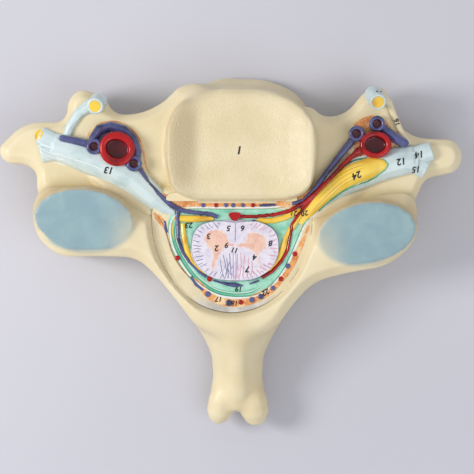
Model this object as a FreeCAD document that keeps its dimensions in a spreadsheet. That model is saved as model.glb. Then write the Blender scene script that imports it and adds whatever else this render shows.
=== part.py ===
import FreeCAD, Part
import math
import os
from FreeCAD import Rotation, Vector

# Spine anatomy model: an enlarged cervical vertebra seen from above, lying flat,
# with the spinal cord, its sheaths, nerves and vessels set into the bone.
# Millimetres, +Z up, front of the neck towards +Y. The origin is on the table under
# the middle of the model. Places are given from the middle of the spinal canal.
SIZES = {
    # Place of the canal's middle in the model's frame
    "canal_x": 4.4,
    "canal_y": 31.25,
    # Vertebral body
    "body_centre_x": 4.4,
    "body_centre_y": 58.7,
    "body_half_width": 62,
    "body_front_depth": 47,
    "body_rear_depth": 47,
    "body_height": 92,
    "foot_flare": 14,
    "dish_floor": 76,
    "dish_crease": 33,
    "dish_flat": 50,
    # Transverse plates
    "plate_bottom": 16,
    "plate_top": 58,
    "plate_round": 8,
    # Neural arch
    "arch_bottom": 5,
    "arch_top": 75,
    "arch_round": 10,
    # Articular pillars and their facets
    "pillar_half_length": 44.5,
    "pillar_half_width": 29,
    "facet_half_length": 43,
    "facet_half_width": 26,
    "facet_height": 80,
    "facet_tilt": 13,
    # Spinous process
    "spine_half_width": 22,
    "spine_bottom": 8,
    "spine_lobe_radius": 12,
    # Spinal canal and the layers in it
    "canal_half_width": 68.5,
    "canal_front": 12,
    "canal_back": 83,
    "canal_flare": 6,
    "canal_wall": 4,
    "fat_band": 8,
    "fat_front_band": 5.3,
    "dura_margin": 1.5,
    "dura_band": 6,
    "dura_front_band": 3.4,
    "bed_bottom": 12,
    "layer_bottom": 56,
    "layer_top": 66,
    # Spinal cord
    "cord_half_width": 37.5,
    "cord_half_depth": 26,
    "cord_back": 30,
    "cord_top": 69.5,
    "grey_proud": 0.7,
    "grey_depth": 4,
    # Nerves
    "nerve_half_width": 12,
    "nerve_height": 9.5,
    "branch_radius": 7.4,
    "cut_face_radius": 4.6,
    "cut_face_depth": 3,
    "root_radius": 2.4,
    "root_height": 2.2,
    "ganglion_half_width": 8.6,
    "ganglion_height": 8,
    "sleeve_margin": 1.4,
    # Vessels
    "artery_radius": 13.3,
    "artery_bore": 8,
    "artery_bottom": 12,
    "artery_top": 72,
    "vein_radius": 4,
    "vein_height": 6,
    "vein_stump_radius": 6.6,
    "vein_bore": 3.8,
    "vein_stump_top": 70,
    "bore_depth": 12,
    "radicular_radius": 2.6,
    "radicular_height": 3.2,
    "spinal_vein_radius": 1.9,
    "epidural_radius": 2.2,
    "epidural_rise": 1.3,
    # Fat about the vertebral vessels
    "pad_top": 60,
}

ROUND_SHARE = 0.45
UP = Vector(0, 0, 1)

doc = FreeCAD.newDocument("SpineAnatomyModel")
sheet = doc.addObject("Spreadsheet::Sheet", "Sizes")
for row, (alias, value) in enumerate(SIZES.items(), start=1):
    sheet.set(f"A{row}", alias)
    sheet.set(f"B{row}", str(value))
    sheet.setAlias(f"B{row}", alias)
doc.recompute()


def size(alias):
    return float(sheet.get(alias))


def at(x, y, z=0.0):
    """A point given from the canal's middle, in the model's frame."""
    return Vector(size("canal_x") + x, size("canal_y") + y, z)


# Profiles

def feature(name, shape):
    profile = doc.addObject("Part::Feature", name)
    profile.Shape = shape
    return profile


def inset_corners(points, inset):
    """Corners of a closed outline (anticlockwise), moved inwards by inset."""
    moved = []
    count = len(points)
    for i in range(count):
        to_here = (points[i] - points[i - 1]).normalize()
        onward = (points[(i + 1) % count] - points[i]).normalize()
        inward = UP.cross(to_here) + UP.cross(onward)
        reach = inset * 2 / max(inward.Length ** 2, 1.2)
        moved.append(points[i] + inward * reach)
    return moved


def rounded_wire(points):
    """Closed outline of straight runs joined by tangent arcs, one at each corner."""
    edges = []
    count = len(points)
    joints = []
    for i in range(count):
        back = points[i - 1] - points[i]
        ahead = points[(i + 1) % count] - points[i]
        cut = ROUND_SHARE * min(back.Length, ahead.Length)
        back.normalize()
        ahead.normalize()
        turn = math.pi - back.getAngle(ahead)
        start = points[i] + back * cut
        end = points[i] + ahead * cut
        bisector = (back + ahead).normalize()
        radius = cut / math.tan(turn / 2)
        middle = points[i] + bisector * (radius / math.cos(turn / 2) - radius)
        joints.append((start, middle, end))
    for i, (start, middle, end) in enumerate(joints):
        edges.append(Part.Arc(start, middle, end).toShape())
        edges.append(Part.LineSegment(end, joints[(i + 1) % count][0]).toShape())
    return Part.Wire(edges)


def level_outline(name, corners, height, inset=0.0):
    """Rounded outline in a level plane, from corners given about the canal."""
    points = [at(x, y, height) for x, y in corners]
    return feature(name, rounded_wire(inset_corners(points, inset)))


def canal_profile(name, centre_x, half_width, front, back, height, shoulder=12.0):
    """The canal's section: flat front, round shoulders and a half-oval of arcs behind."""
    left = centre_x - half_width
    right = centre_x + half_width
    middle = front - shoulder
    slant = shoulder * math.sqrt(0.5)
    front_left = at(left + shoulder, front, height)
    front_right = at(right - shoulder, front, height)
    right_bend = at(right - shoulder + slant, middle + slant, height)
    left_bend = at(left + shoulder - slant, middle + slant, height)

    def behind(degrees):
        """A place on the half-oval, counted from its right end."""
        angle = math.radians(degrees)
        across = half_width * math.cos(angle)
        return at(centre_x + across, middle - (middle + back) * math.sin(angle), height)

    edges = [Part.LineSegment(front_left, front_right).toShape()]
    edges.append(Part.Arc(front_right, right_bend, behind(0)).toShape())
    for start in (0, 45, 90, 135):
        arc = Part.Arc(behind(start), behind(start + 22.5), behind(start + 45))
        edges.append(arc.toShape())
    edges.append(Part.Arc(behind(180), left_bend, front_left).toShape())
    return feature(name, Part.Wire(edges))


# Solids

def loft(label, sections, ruled=True):
    solid = doc.addObject("Part::Loft", label)
    solid.Sections = sections
    solid.Solid = True
    solid.Ruled = ruled
    return solid


def prism(label, profile, height):
    """Upright prism on a level profile; height is an expression of the sheet."""
    solid = doc.addObject("Part::Extrusion", label)
    solid.Base = profile
    solid.DirMode = "Custom"
    solid.Dir = UP
    solid.Solid = True
    solid.setExpression("LengthFwd", height)
    return solid


def fuse(label, shapes):
    joined = doc.addObject("Part::MultiFuse", label)
    joined.Shapes = shapes
    return joined


def cut(label, base, tools):
    """The base less all the tools at once."""
    group = doc.addObject("Part::Compound", f"{label}_tools")
    group.Links = tools
    result = doc.addObject("Part::Cut", label)
    result.Base = base
    result.Tool = group
    result.Refine = False
    return result


def scaled(alias, share=1.0, less=0.0):
    """A share of a driving size, as an expression of the sheet and as its value."""
    return f"Sizes.{alias} * {share} - {less}", size(alias) * share - less


def oval_ring(name, centre, turn, wide, tall, sides):
    """Many-sided ring across a form; wide and tall are its half-sizes, from scaled()."""
    if wide == tall:
        ring = doc.addObject("Part::RegularPolygon", name)
        ring.Polygon = sides
        ring.setExpression("Circumradius", wide[0])
    else:
        angles = [2 * math.pi * i / sides for i in range(sides)]
        points = [Vector(wide[1] * math.cos(a), tall[1] * math.sin(a), 0) for a in angles]
        ring = feature(name, Part.makePolygon(points + points[:1]))
    ring.Placement = FreeCAD.Placement(centre, turn)
    return ring


def route_tube(label, route, radius, shares, sides=12):
    """Tapering tube through a route's points, as (x, y, z) about the canal."""
    points = [at(*point) for point in route]
    rings = []
    for i, point in enumerate(points):
        along = Vector(0, 0, 0)
        if i > 0:
            along += (point - points[i - 1]).normalize()
        if i < len(points) - 1:
            along += (points[i + 1] - point).normalize()
        along.normalize()
        side = along.cross(UP)
        if side.Length < 0.2:
            side = Vector(1, 0, 0)
        side.normalize()
        turn = Rotation(side, side.cross(along), along, "ZXY")
        half = scaled(radius, shares[i])
        rings.append(oval_ring(f"{label}_ring_{i + 1}", point, turn, half, half, sides))
    return loft(label, rings)


def ribbon(label, route, wide, tall, shares, steps=4, rises=None):
    """Half-round strip with a flat underside, laid along a route of (x, y, base height).

    Its half-width follows shares, and so does its height unless rises gives other shares."""
    points = [at(*point) for point in route]
    sections = []
    for i, point in enumerate(points):
        along = points[min(i + 1, len(points) - 1)] - points[max(i - 1, 0)]
        side = Vector(along.y, -along.x, 0).normalize()
        half_width = size(wide) * shares[i]
        rise = size(tall) * (rises or shares)[i]
        angles = [math.pi * step / steps for step in range(steps + 1)]
        arch = [point + side * half_width * math.cos(a) + UP * rise * math.sin(a) for a in angles]
        sections.append(feature(f"{label}_section_{i + 1}", Part.makePolygon(arch + arch[:1])))
    return loft(label, sections)


def level_ring(name, x, y, height, wide, deep, turn=0.0, tilt=0.0, less=0.0, sides=16):
    """Ring at a height, turned about Z and tilted backwards about its length."""
    lean = Rotation(UP, turn) * Rotation(Vector(1, 0, 0), tilt)
    half_wide = scaled(*wide, less=less)
    half_deep = scaled(*deep, less=less)
    return oval_ring(name, at(x, y, height), lean, half_wide, half_deep, sides)


# Vertebra

def vertebral_body():
    """Waisted block on a flared foot, with a dished top between two raised side lips."""
    levels = (
        (0, -2, 6, 0.0),
        (9, 3, 10, 1.0),
        (24, 0, 6, 0.5),
        (45, -2, 3, 0.0),
        (75, 2, 2, 0.0),
        (size("body_height"), 1, 0, 0.0),
    )
    sections = []
    for number, (height, widen, deepen, flare) in enumerate(levels, start=1):
        front = size("body_front_depth") + deepen + flare * size("foot_flare") / 3
        corners = body_corners(size("body_half_width") + widen, front)
        sections.append(level_outline(f"body_ring_{number}", corners, height))
    block = loft("body_block", sections)
    reach = size("body_centre_y") + size("body_front_depth") + 40
    lip = size("body_half_width") + 3
    crease = -size("dish_crease")
    flat_end = crease + size("dish_flat")
    floor = size("dish_floor")
    top = size("body_height") + 1
    slope_turn = floor + 0.28 * (top - floor)
    left_lip = at(-lip, reach, top)
    right_lip = at(lip, reach, top)
    floor_start = at(crease, reach, floor)
    floor_end = at(flat_end, reach, floor)
    over_right = at(lip, reach, top + 20)
    over_left = at(-lip, reach, top + 20)
    slope_middle = at(flat_end + 0.58 * (lip - flat_end), reach, slope_turn)
    outline = Part.Wire([
        Part.LineSegment(left_lip, floor_start).toShape(),
        Part.LineSegment(floor_start, floor_end).toShape(),
        Part.Arc(floor_end, slope_middle, right_lip).toShape(),
        Part.LineSegment(right_lip, over_right).toShape(),
        Part.LineSegment(over_right, over_left).toShape(),
        Part.LineSegment(over_left, left_lip).toShape(),
    ])
    trough = doc.addObject("Part::Extrusion", "dish_trough")
    trough.Base = feature("dish_profile", outline)
    trough.DirMode = "Custom"
    trough.Dir = Vector(0, -1, 0)
    trough.Solid = True
    trough.LengthFwd = reach + 40
    return cut("body_dished", block, [trough])


def body_corners(half_width, front):
    """Plan of the vertebral body: bowed front, straighter sides and a flat back."""
    middle_x = size("body_centre_x")
    middle_y = size("body_centre_y")
    rear = size("body_rear_depth")
    sides = ((0.62, -rear), (0.93, -0.82 * rear), (1.03, -0.2 * rear), (1.0, 0.42 * front))
    right = sides + ((0.76, 0.8 * front), (0.36, 0.99 * front))
    left = sides + ((0.8, 0.83 * front), (0.38, 1.01 * front))
    corners = [(middle_x + half_width * across, middle_y + y) for across, y in right]
    corners += [(middle_x - half_width * across, middle_y + y) for across, y in reversed(left)]
    return corners


def pillow(label, corners, bottom, top, round_over):
    """Flat casting with rounded rims, on a rounded outline."""
    levels = (
        (bottom, 0.6 * round_over),
        (bottom + 0.7 * round_over, 0.0),
        (top - 0.8 * round_over, 0.0),
        (top, 0.8 * round_over),
    )
    sections = []
    for number, (height, inset) in enumerate(levels, start=1):
        sections.append(level_outline(f"{label}_ring_{number}", corners, height, inset))
    return loft(label, sections)


LEFT_PLATE = (
    (-44, 22), (-22, 118), (-46, 114), (-62, 97), (-80, 88), (-100, 86), (-109, 92),
    (-113, 102), (-134, 109), (-144, 100), (-146, 80), (-182, 80), (-205, 57), (-199, 45),
    (-180, 44), (-171, 37), (-171, 14), (-130, 4), (-80, -4),
)
RIGHT_PLATE = (
    (48, -4), (92, -6), (146, 4), (156, 16), (162, 32), (190, 37), (196, 52), (188, 65),
    (156, 66), (140, 76), (134, 99), (124, 113), (110, 106), (96, 88), (76, 83), (62, 96),
    (44, 86),
)
ARCH = (
    (-166, 24), (-175, 6), (-170, -20), (-150, -36), (-118, -35), (-84, -36), (-65, -55),
    (-46, -79), (-34, -97), (-12, -106), (15, -106), (36, -96), (47, -78), (66, -57),
    (96, -49), (128, -44), (149, -28), (156, 4), (150, 19), (126, 18), (98, 10), (72, -3),
    (-70, -3), (-90, 10), (-114, 21), (-140, 24),
)


def pillar(label, x, y, turn):
    """Articular pillar, leaning back to a flat elliptic facet."""
    length = ("pillar_half_length",)
    width = ("pillar_half_width",)
    height = size("facet_height")
    tilt = size("facet_tilt")
    sections = [
        level_ring(f"{label}_foot", x, y, 0, length, width, turn, 0, 9),
        level_ring(f"{label}_heel", x, y, 5, length, width, turn, 0, 3),
        level_ring(f"{label}_waist", x, y, 14, length, width, turn),
        level_ring(f"{label}_neck", x, y, height - 24, length, width, turn),
        level_ring(f"{label}_brow", x, y, height - 9, length, width, turn, tilt * 0.8),
        level_ring(f"{label}_rim", x, y, height - 2.5, length, width, turn, tilt, 1.6),
        level_ring(
            f"{label}_facet", x, y, height,
            ("facet_half_length",), ("facet_half_width",), turn, tilt,
        ),
    ]
    return loft(label, sections)


def spinous_process():
    """Roof-shaped ridge running back and down from the arch to a forked tip."""
    bottom = size("spine_bottom")
    stations = (
        (-74, 2.0, 76),
        (-94, 1.7, 75),
        (-108, 1.32, 71),
        (-122, 1.04, 62),
        (-140, 0.97, 51),
        (-157, 1.1, 43),
        (-169, 1.08, 35),
    )
    sections = []
    for number, (y, share, ridge) in enumerate(stations, start=1):
        half = size("spine_half_width") * share
        shoulder = bottom + 0.55 * (ridge - bottom)
        across = (
            (-0.7 * half, bottom), (0.7 * half, bottom), (1.04 * half, bottom + 12),
            (0.9 * half, shoulder), (0.22 * half, ridge), (-0.22 * half, ridge),
            (-0.9 * half, shoulder), (-1.04 * half, bottom + 12),
        )
        points = [at(1.5 + x, y, height) for x, height in across]
        sections.append(feature(f"spine_ring_{number}", rounded_wire(points)))
    ridge_solid = loft("spinous_ridge", sections)
    left = route_tube(
        "spinous_left_lobe",
        ((-9, -148, 28), (-12, -160, 26), (-14.5, -171, 23), (-15.5, -176.5, 20), (-16, -179.5, 18)),
        "spine_lobe_radius", (0.8, 1.0, 0.92, 0.68, 0.3),
    )
    right = route_tube(
        "spinous_right_lobe",
        ((11, -146, 28), (14, -160, 26), (16.5, -171, 23), (17, -178, 20), (17, -181.5, 18)),
        "spine_lobe_radius", (0.8, 1.12, 1.04, 0.74, 0.3),
    )
    return [ridge_solid, left, right]


def vertebra(seats):
    """One casting of body, plates, pillars, arch and spinous process, cut for its inserts."""
    blank = fuse("bone_blank", [
        vertebral_body(),
        pillow(
            "left_plate", LEFT_PLATE,
            size("plate_bottom"), size("plate_top"), size("plate_round"),
        ),
        pillow(
            "right_plate", RIGHT_PLATE,
            size("plate_bottom"), size("plate_top"), size("plate_round"),
        ),
        pillow("arch", ARCH, size("arch_bottom"), size("arch_top"), size("arch_round")),
        pillar("left_pillar", -129, -4, -6),
        pillar("right_pillar", 111, -15.5, 9),
    ] + spinous_process())
    return cut("vertebra", blank, bone_openings() + seats)


# Layers in the canal

def canal_layers():
    """Blank prisms of the canal, epidural fat, dura and arachnoid, from the bone inwards."""
    wall = size("canal_wall")
    margin = size("dura_margin")
    fat_width = size("canal_half_width") - wall
    fat_back = size("canal_back") - wall
    fat_front = size("canal_front") - 0.4 * wall
    dura_width = fat_width - size("fat_band")
    dura_back = fat_back - size("fat_band")
    dura_front = fat_front - size("fat_front_band")
    layers = {
        "canal": (-3.5, size("canal_half_width"), size("canal_front"), size("canal_back")),
        "fat": (-3.5, fat_width, fat_front, fat_back),
        "rib": (-1.5, dura_width + margin, dura_front + margin, dura_back + margin),
        "dura": (-1.5, dura_width, dura_front, dura_back),
        "arachnoid": (
            -1.0,
            dura_width - size("dura_band"),
            dura_front - size("dura_front_band"),
            dura_back - size("dura_band"),
        ),
    }
    return layers


def layer_prism(label, layer, bottom="layer_bottom"):
    """Upright prism of one layer, from a height given by alias to the layers' top."""
    profile = canal_profile(f"{label}_profile", *LAYERS[layer], size(bottom))
    return prism(label, profile, f"Sizes.layer_top - Sizes.{bottom}")


def bone_openings():
    """The canal through the bone, and the flare of its rim."""
    centre_x, half_width, front, back = LAYERS["canal"]
    through = canal_profile("canal_opening_profile", centre_x, half_width, front, back, -5)
    opening = prism("canal_opening", through, "Sizes.body_height + 20")
    wider = size("canal_flare")
    low = size("layer_top")
    rings = [
        canal_profile("flare_low", centre_x, half_width, front, back, low),
        canal_profile(
            "flare_high", centre_x, half_width + wider, front + 0.3 * wider, back + wider,
            size("arch_top") + 2,
        ),
    ]
    return [opening, loft("canal_rim_flare", rings)]


LAYERS = canal_layers()

GREY_HALF = (
    (1.5, -23), (9, -26), (14, -17), (26, -14), (31, -23), (26, -32), (20, -33),
    (21, -44), (26, -51), (20, -47), (13, -34), (5, -31), (1.5, -32),
)


def spinal_cord():
    """Elliptic cord with a softened upper rim."""
    wide = ("cord_half_width",)
    deep = ("cord_half_depth",)
    back = -size("cord_back")
    top = size("cord_top")
    return loft("cord_blank", [
        level_ring("cord_foot", -1, back, size("layer_bottom"), wide, deep, sides=40),
        level_ring("cord_shoulder", -1, back, top - 1.5, wide, deep, sides=40),
        level_ring("cord_crown", -1, back, top, wide, deep, less=1.5, sides=40),
    ])


def grey_matter():
    """Butterfly of grey matter, standing a little proud of the cord."""
    across = size("cord_half_width") / 37.5
    along = size("cord_half_depth") / 26
    right = [(across * x, -size("cord_back") + along * (y + 30)) for x, y in GREY_HALF]
    left = [(-2 - x, y) for x, y in reversed(right)]
    level = size("cord_top") - size("grey_depth")
    return prism(
        "grey_matter",
        level_outline("grey_profile", left + right, level),
        "Sizes.grey_depth + Sizes.grey_proud",
    )


# Stumps, vessels and nerves

def stump(label, x, y, wide, deep, turn, bottom, top, bore, floor, sides=12):
    """Cut vessel standing upright: an elliptic tube with a softened lip and a blind bore."""
    lip = 1.2

    def ring(part, height, half_sizes, less=0.0):
        name = f"{label}_{part}"
        return level_ring(name, x, y, height, *half_sizes, turn, less=less, sides=sides)

    outside = loft(f"{label}_wall", [
        ring("base", bottom, (wide, deep)),
        ring("side", top - lip, (wide, deep)),
        ring("lip", top, (wide, deep), lip),
    ])
    hollow = loft(f"{label}_hollow", [
        ring("floor", floor, bore),
        ring("throat", top - lip, bore),
        ring("mouth", top + lip, bore, -2 * lip),
    ])
    return outside, hollow


def vein_stump(label, x, y):
    radius = ("vein_stump_radius",)
    bore = ("vein_bore",)
    top = size("vein_stump_top")
    floor = top - size("bore_depth") * 0.6
    return stump(label, x, y, radius, radius, 0, size("pad_top"), top, (bore, bore), floor)


def vessel(label, radius, places, shares):
    """Vessel laid along (x, y, rise), where rise is its base's height above the pads."""
    route = [(x, y, size("pad_top") + rise) for x, y, rise in places]
    return ribbon(label, route, radius, f"{radius.replace('_radius', '')}_height", shares)


def left_vein():
    """Vein looped over the left vertebral artery, with two open stumps and its branches."""
    ramp = size("layer_top") - size("pad_top")
    loop = vessel(
        "left_vein_loop", "vein_radius",
        ((-121, 57, 0), (-122, 66, 0), (-117, 73.5, 0), (-107, 76, 0), (-96, 73, 0),
         (-88, 65.5, 0), (-84.5, 55, 0), (-86, 44, 0)),
        (1, 1.05, 1.1, 1.1, 1.1, 1.05, 1, 1),
    )
    branch = vessel(
        "left_vein_branch", "vein_radius",
        ((-121, 58, 0), (-130, 61.5, 0.35 * ramp), (-140, 64, 0.6 * ramp),
         (-148, 66, 0.7 * ramp), (-151, 66.7, 0.7 * ramp)),
        (0.95, 0.95, 0.92, 0.9, 0.6),
    )
    radicular = vessel(
        "left_radicular_vein", "radicular_radius",
        ((-86, 45, 0), (-82, 37, 0.3 * ramp), (-76, 28, 0.6 * ramp), (-66, 18, 0.85 * ramp),
         (-56, 9.5, ramp), (-48.5, 5, ramp), (-43.5, 3.4, ramp), (-34, 2.1, ramp),
         (-22, 0.9, ramp), (-15, -1.7, ramp)),
        (1.45, 1.25, 1.1, 1.05, 1.05, 1.1, 1.0, 0.95, 0.95, 0.9),
    )
    descending = vessel(
        "left_descending_vein", "radicular_radius",
        ((-50, 7, ramp), (-49.8, -6, ramp), (-49.3, -20, ramp), (-45.5, -31.5, ramp),
         (-39.5, -40, ramp), (-31, -48.5, ramp), (-25, -53, ramp)),
        (0.95, 0.85, 0.8, 0.75, 0.72, 0.7, 0.7),
    )
    outer, bore_1 = vein_stump("left_outer_vein_stump", -121, 58.5)
    inner, bore_2 = vein_stump("left_inner_vein_stump", -87, 44)
    return [loop, branch, radicular, descending, outer, inner], [bore_1, bore_2]


def right_inner_vein():
    """Open vein stump beside the right vertebral artery, with its radicular branch."""
    ramp = size("layer_top") - size("pad_top")
    branch = vessel(
        "right_radicular_vein", "radicular_radius",
        ((103, 69, 0), (96.5, 60, 0), (88, 50, 0.2 * ramp), (77, 36, 0.6 * ramp),
         (67, 22, 0.9 * ramp), (58, 12.5, ramp), (48, 9.5, ramp)),
        (1.5, 1.25, 1.0, 0.85, 0.75, 0.65, 0.5),
    )
    wall, bore = vein_stump("right_inner_vein_stump", 103, 69.5)
    return [branch, wall], [bore]


def right_outer_vein():
    """Second open stump on the right, with its short branch over the nerve."""
    ramp = size("layer_top") - size("pad_top")
    branch = vessel(
        "right_vein_branch", "vein_radius",
        ((121, 77.5, 0), (128.5, 71.5, 0), (137, 65.5, 0.4 * ramp), (144, 61.5, 0.6 * ramp),
         (147, 60, 0.6 * ramp)),
        (1.1, 1.15, 1.1, 1.0, 0.6),
    )
    wall, bore = vein_stump("right_outer_vein_stump", 120.5, 78)
    return [branch, wall], [bore]


def artery_stump(label, x, y, deep_share, turn):
    wide = ("artery_radius",)
    deep = ("artery_radius", deep_share)
    bores = (("artery_bore", 1.1), ("artery_bore", 0.9))
    top = size("artery_top")
    floor = top - size("bore_depth")
    return stump(
        label, x, y, wide, deep, turn, size("artery_bottom"), top, bores, floor, sides=24
    )


def right_artery():
    """Right vertebral artery with the radicular artery that it sends to the cord."""
    ramp = size("layer_top") - size("pad_top")
    radicular = vessel(
        "right_radicular_artery", "radicular_radius",
        ((110, 58, 0.2 * ramp), (101, 52, 0.3 * ramp), (92, 43.5, 0.6 * ramp),
         (80, 30.5, ramp), (68, 19, ramp), (58, 10.5, ramp), (46, 3.8, ramp),
         (33, 0.4, ramp), (14, -1.4, ramp), (-3, -1.6, ramp)),
        (1.3, 1.15, 1.1, 1.05, 1.05, 0.95, 0.9, 0.85, 0.8, 0.8),
    )
    descending = vessel(
        "right_descending_artery", "radicular_radius",
        ((70, 20, ramp), (62, 10, ramp), (54, 1, ramp), (48, -8, ramp), (45.8, -20, ramp),
         (44, -30, ramp), (39, -39, ramp), (31, -48, ramp), (21.5, -53.5, ramp)),
        (0.8, 0.85, 0.85, 0.85, 0.8, 0.8, 0.78, 0.8, 0.9),
    )
    wall, bore = artery_stump("right_artery_stump", 119, 60, 0.84, 0)
    return [wall, radicular, descending], [bore]


def nerve(label, places, shares, rises, root, tips):
    """Spinal nerve rising from its plate onto the canal's layers, and its two cut ends."""
    level = size("plate_top")
    strips = [ribbon(
        f"{label}_trunk", [(x, y, level) for x, y in places],
        "nerve_half_width", "nerve_height", shares, 6, rises,
    )]
    for number, tip in enumerate(tips, start=1):
        middle = ((root[0] + tip[0]) / 2, (root[1] + tip[1]) / 2)
        strips.append(ribbon(
            f"{label}_end_{number}", [(x, y, level) for x, y in (root, middle, tip)],
            "nerve_half_width", "nerve_height", (0.78, 0.72, 0.68), 6,
        ))
    return strips


def left_nerve():
    return nerve(
        "left_nerve",
        ((-50, 1), (-60, 6), (-73, 17), (-89, 31), (-107, 40.5), (-126, 48.5), (-144, 56),
         (-156, 60)),
        (0.4, 0.72, 0.92, 1.06, 1.12, 1.1, 1.04, 0.9),
        (0.88, 1.1, 1.22, 1.2, 1.12, 1.06, 1.0, 0.9),
        (-146, 57), ((-168, 68), (-167, 53)),
    )


def right_nerve():
    return nerve(
        "right_nerve",
        ((52, -3), (62, 4), (74, 15), (88, 26), (104, 34), (122, 41), (138, 46), (152, 48)),
        (0.45, 0.7, 0.9, 1.02, 1.08, 1.06, 1.1, 1.0),
        (0.88, 1.02, 1.06, 1.0, 1.0, 1.0, 1.0, 0.95),
        (146, 48), ((167.5, 55), (163, 39)),
    )


def anterior_branch(label, places, shares, face, lean):
    """Branch curling forwards from a nerve to a stump that leans up to its cut face."""
    level = size("plate_top")
    arm = ribbon(
        f"{label}_arm", [(x, y, level) for x, y in places],
        "branch_radius", "branch_radius", shares,
    )
    foot = at(face[0] + lean[0], face[1] + lean[1], level)
    tip = at(*face)
    axis = (tip - foot).normalize()
    side = Vector(1, 0, 0) - axis * axis.x
    side.normalize()
    lying = Rotation(side, axis.cross(side), axis, "ZXY")
    middle = foot + (tip - foot) * 0.55
    post = loft(f"{label}_post", [
        oval_ring(
            f"{label}_foot", foot, Rotation(),
            scaled("branch_radius", 1.05), scaled("branch_radius", 1.05), 12,
        ),
        oval_ring(
            f"{label}_waist", middle, lying,
            scaled("branch_radius"), scaled("branch_radius"), 12,
        ),
        oval_ring(
            f"{label}_tip", tip, lying,
            scaled("branch_radius", 0.92), scaled("branch_radius", 0.92), 12,
        ),
    ])
    return [arm, post]


def cut_face(label, x, y, z, along, share):
    """Disc of cut nerve fibres, let into the end of its sheath."""
    disc = doc.addObject("Part::Cylinder", label)
    disc.setExpression("Radius", f"Sizes.cut_face_radius * {share}")
    disc.setExpression("Height", "Sizes.cut_face_depth")
    direction = Vector(*along).normalize()
    start = at(x, y, z) - direction * (size("cut_face_depth") - 0.4)
    disc.Placement = FreeCAD.Placement(start, Rotation(UP, direction))
    return disc


def ganglion():
    """Teardrop of the dorsal root ganglion, and the thin sleeve that shows round it."""
    places = (
        (52, 0.5), (63, 8.5), (73, 16.2), (84, 24.6), (92, 30.2), (100, 34.6), (109, 37.6),
        (118, 40), (124.5, 41.6), (128.5, 42.4),
    )
    shares = (0.3, 0.42, 0.52, 0.7, 0.88, 1.0, 1.0, 0.86, 0.6, 0.2)
    low = size("plate_top") + 0.45 * size("nerve_height")
    margin = 1 + size("sleeve_margin") / size("ganglion_half_width")
    core = ribbon(
        "right_ganglion_core", [(x, y, low) for x, y in places],
        "ganglion_half_width", "ganglion_height", shares, 6,
    )
    sleeve = ribbon(
        "right_sleeve_core", [(x, y, low - size("sleeve_margin")) for x, y in places],
        "ganglion_half_width", "ganglion_height", [share * margin for share in shares], 6,
    )
    return core, sleeve


ROOTS = {
    "left_ventral_root": (
        ((-48, -2.6), (-42, -3.1), (-31, -3.2), (-19, -3)), (1.2, 1.3, 1.25, 0.7),
    ),
    "left_dorsal_root": (
        ((-45.5, -7), (-44.8, -15), (-43.6, -23), (-41.6, -31), (-37.6, -39.5),
         (-32.6, -45.6), (-26.5, -50.6)),
        (0.8, 0.95, 1.0, 1.0, 1.0, 0.95, 0.7),
    ),
    "right_ventral_root": (
        ((56, 4), (48.5, 1), (41, -2.4), (32.5, -4.6), (25, -4.9), (18, -3.4)),
        (1.0, 1.15, 1.1, 1.1, 1.0, 0.6),
    ),
    "right_dorsal_root": (
        ((57, 3), (51.5, -4), (47.5, -11), (43.6, -18.5), (41.2, -26), (38.2, -33.5),
         (33.2, -41), (27.6, -46.4), (21.5, -50.4)),
        (1.1, 1.15, 1.15, 1.1, 1.15, 1.15, 1.15, 1.05, 0.7),
    ),
}

EPIDURAL_ARTERIES = (
    (-17, 8.4, 0.82), (14.5, 8.4, 0.82), (-49.8, -36.6, 1.0), (4.3, -74.4, 0.95),
    (38.3, -54.5, 0.95), (50.3, -33.2, 0.95),
)
EPIDURAL_VEINS = (
    (-28, 8.4, 0.8), (-8.5, 8.4, 0.8), (-2.4, 8.4, 0.82), (6, 8.4, 0.75), (-24, -67.5, 1.1),
    (-6, -75, 1.25), (13.6, -72.4, 1.1), (21.3, -69.5, 1.1), (31.5, -62.4, 0.95),
    (44.3, -43.5, 1.0),
)


def bead(label, x, y, share):
    """Small cut vessel end, standing on the layers of the canal."""
    radius = ("epidural_radius", share)
    foot = size("layer_top")
    rise = size("epidural_rise")
    return loft(label, [
        level_ring(f"{label}_foot", x, y, foot, radius, radius, sides=10),
        level_ring(f"{label}_side", x, y, foot + 0.5 * rise, radius, radius, sides=10),
        level_ring(f"{label}_top", x, y, foot + rise, radius, radius, less=0.6, sides=10),
    ])


def beads(label, places):
    return [
        bead(f"{label}_{number}", x, y, share)
        for number, (x, y, share) in enumerate(places, start=1)
    ]


def layer_strip(label, radius, tall, places, shares):
    """Strip lying on the layers of the canal."""
    return ribbon(label, [(x, y, size("layer_top")) for x, y in places], radius, tall, shares)


def epidural_streaks():
    """Longer runs of the epidural veins, lying along the fat."""
    streaks = {
        "front": ((20, 8.2), (27, 8.5), (34, 8.8)),
        "left_upper": ((-61, -5), (-60.5, -10), (-59, -15)),
        "left_lower": ((-38.5, -52.5), (-34, -59.5), (-28, -64)),
    }
    return [
        layer_strip(
            f"epidural_streak_{name}", "epidural_radius", "epidural_rise", places,
            (0.5, 0.65, 0.5),
        )
        for name, places in streaks.items()
    ]


def spinal_veins():
    """Veins behind the cord, and the cut vein beside its front fissure."""
    left = layer_strip(
        "spinal_vein_left", "spinal_vein_radius", "radicular_height",
        ((-19.6, -55.6), (-13.5, -57.4), (-6.8, -59), (-1, -59.6), (6.5, -60.2)),
        (0.8, 0.85, 1.2, 1.5, 0.5),
    )
    right = layer_strip(
        "spinal_vein_right", "spinal_vein_radius", "radicular_height",
        ((11, -59), (15.5, -57.4), (20, -55.8)), (0.6, 0.8, 0.7),
    )
    return [left, right, bead("spinal_vein_front", 15, -5.6, 1.1)]


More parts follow.
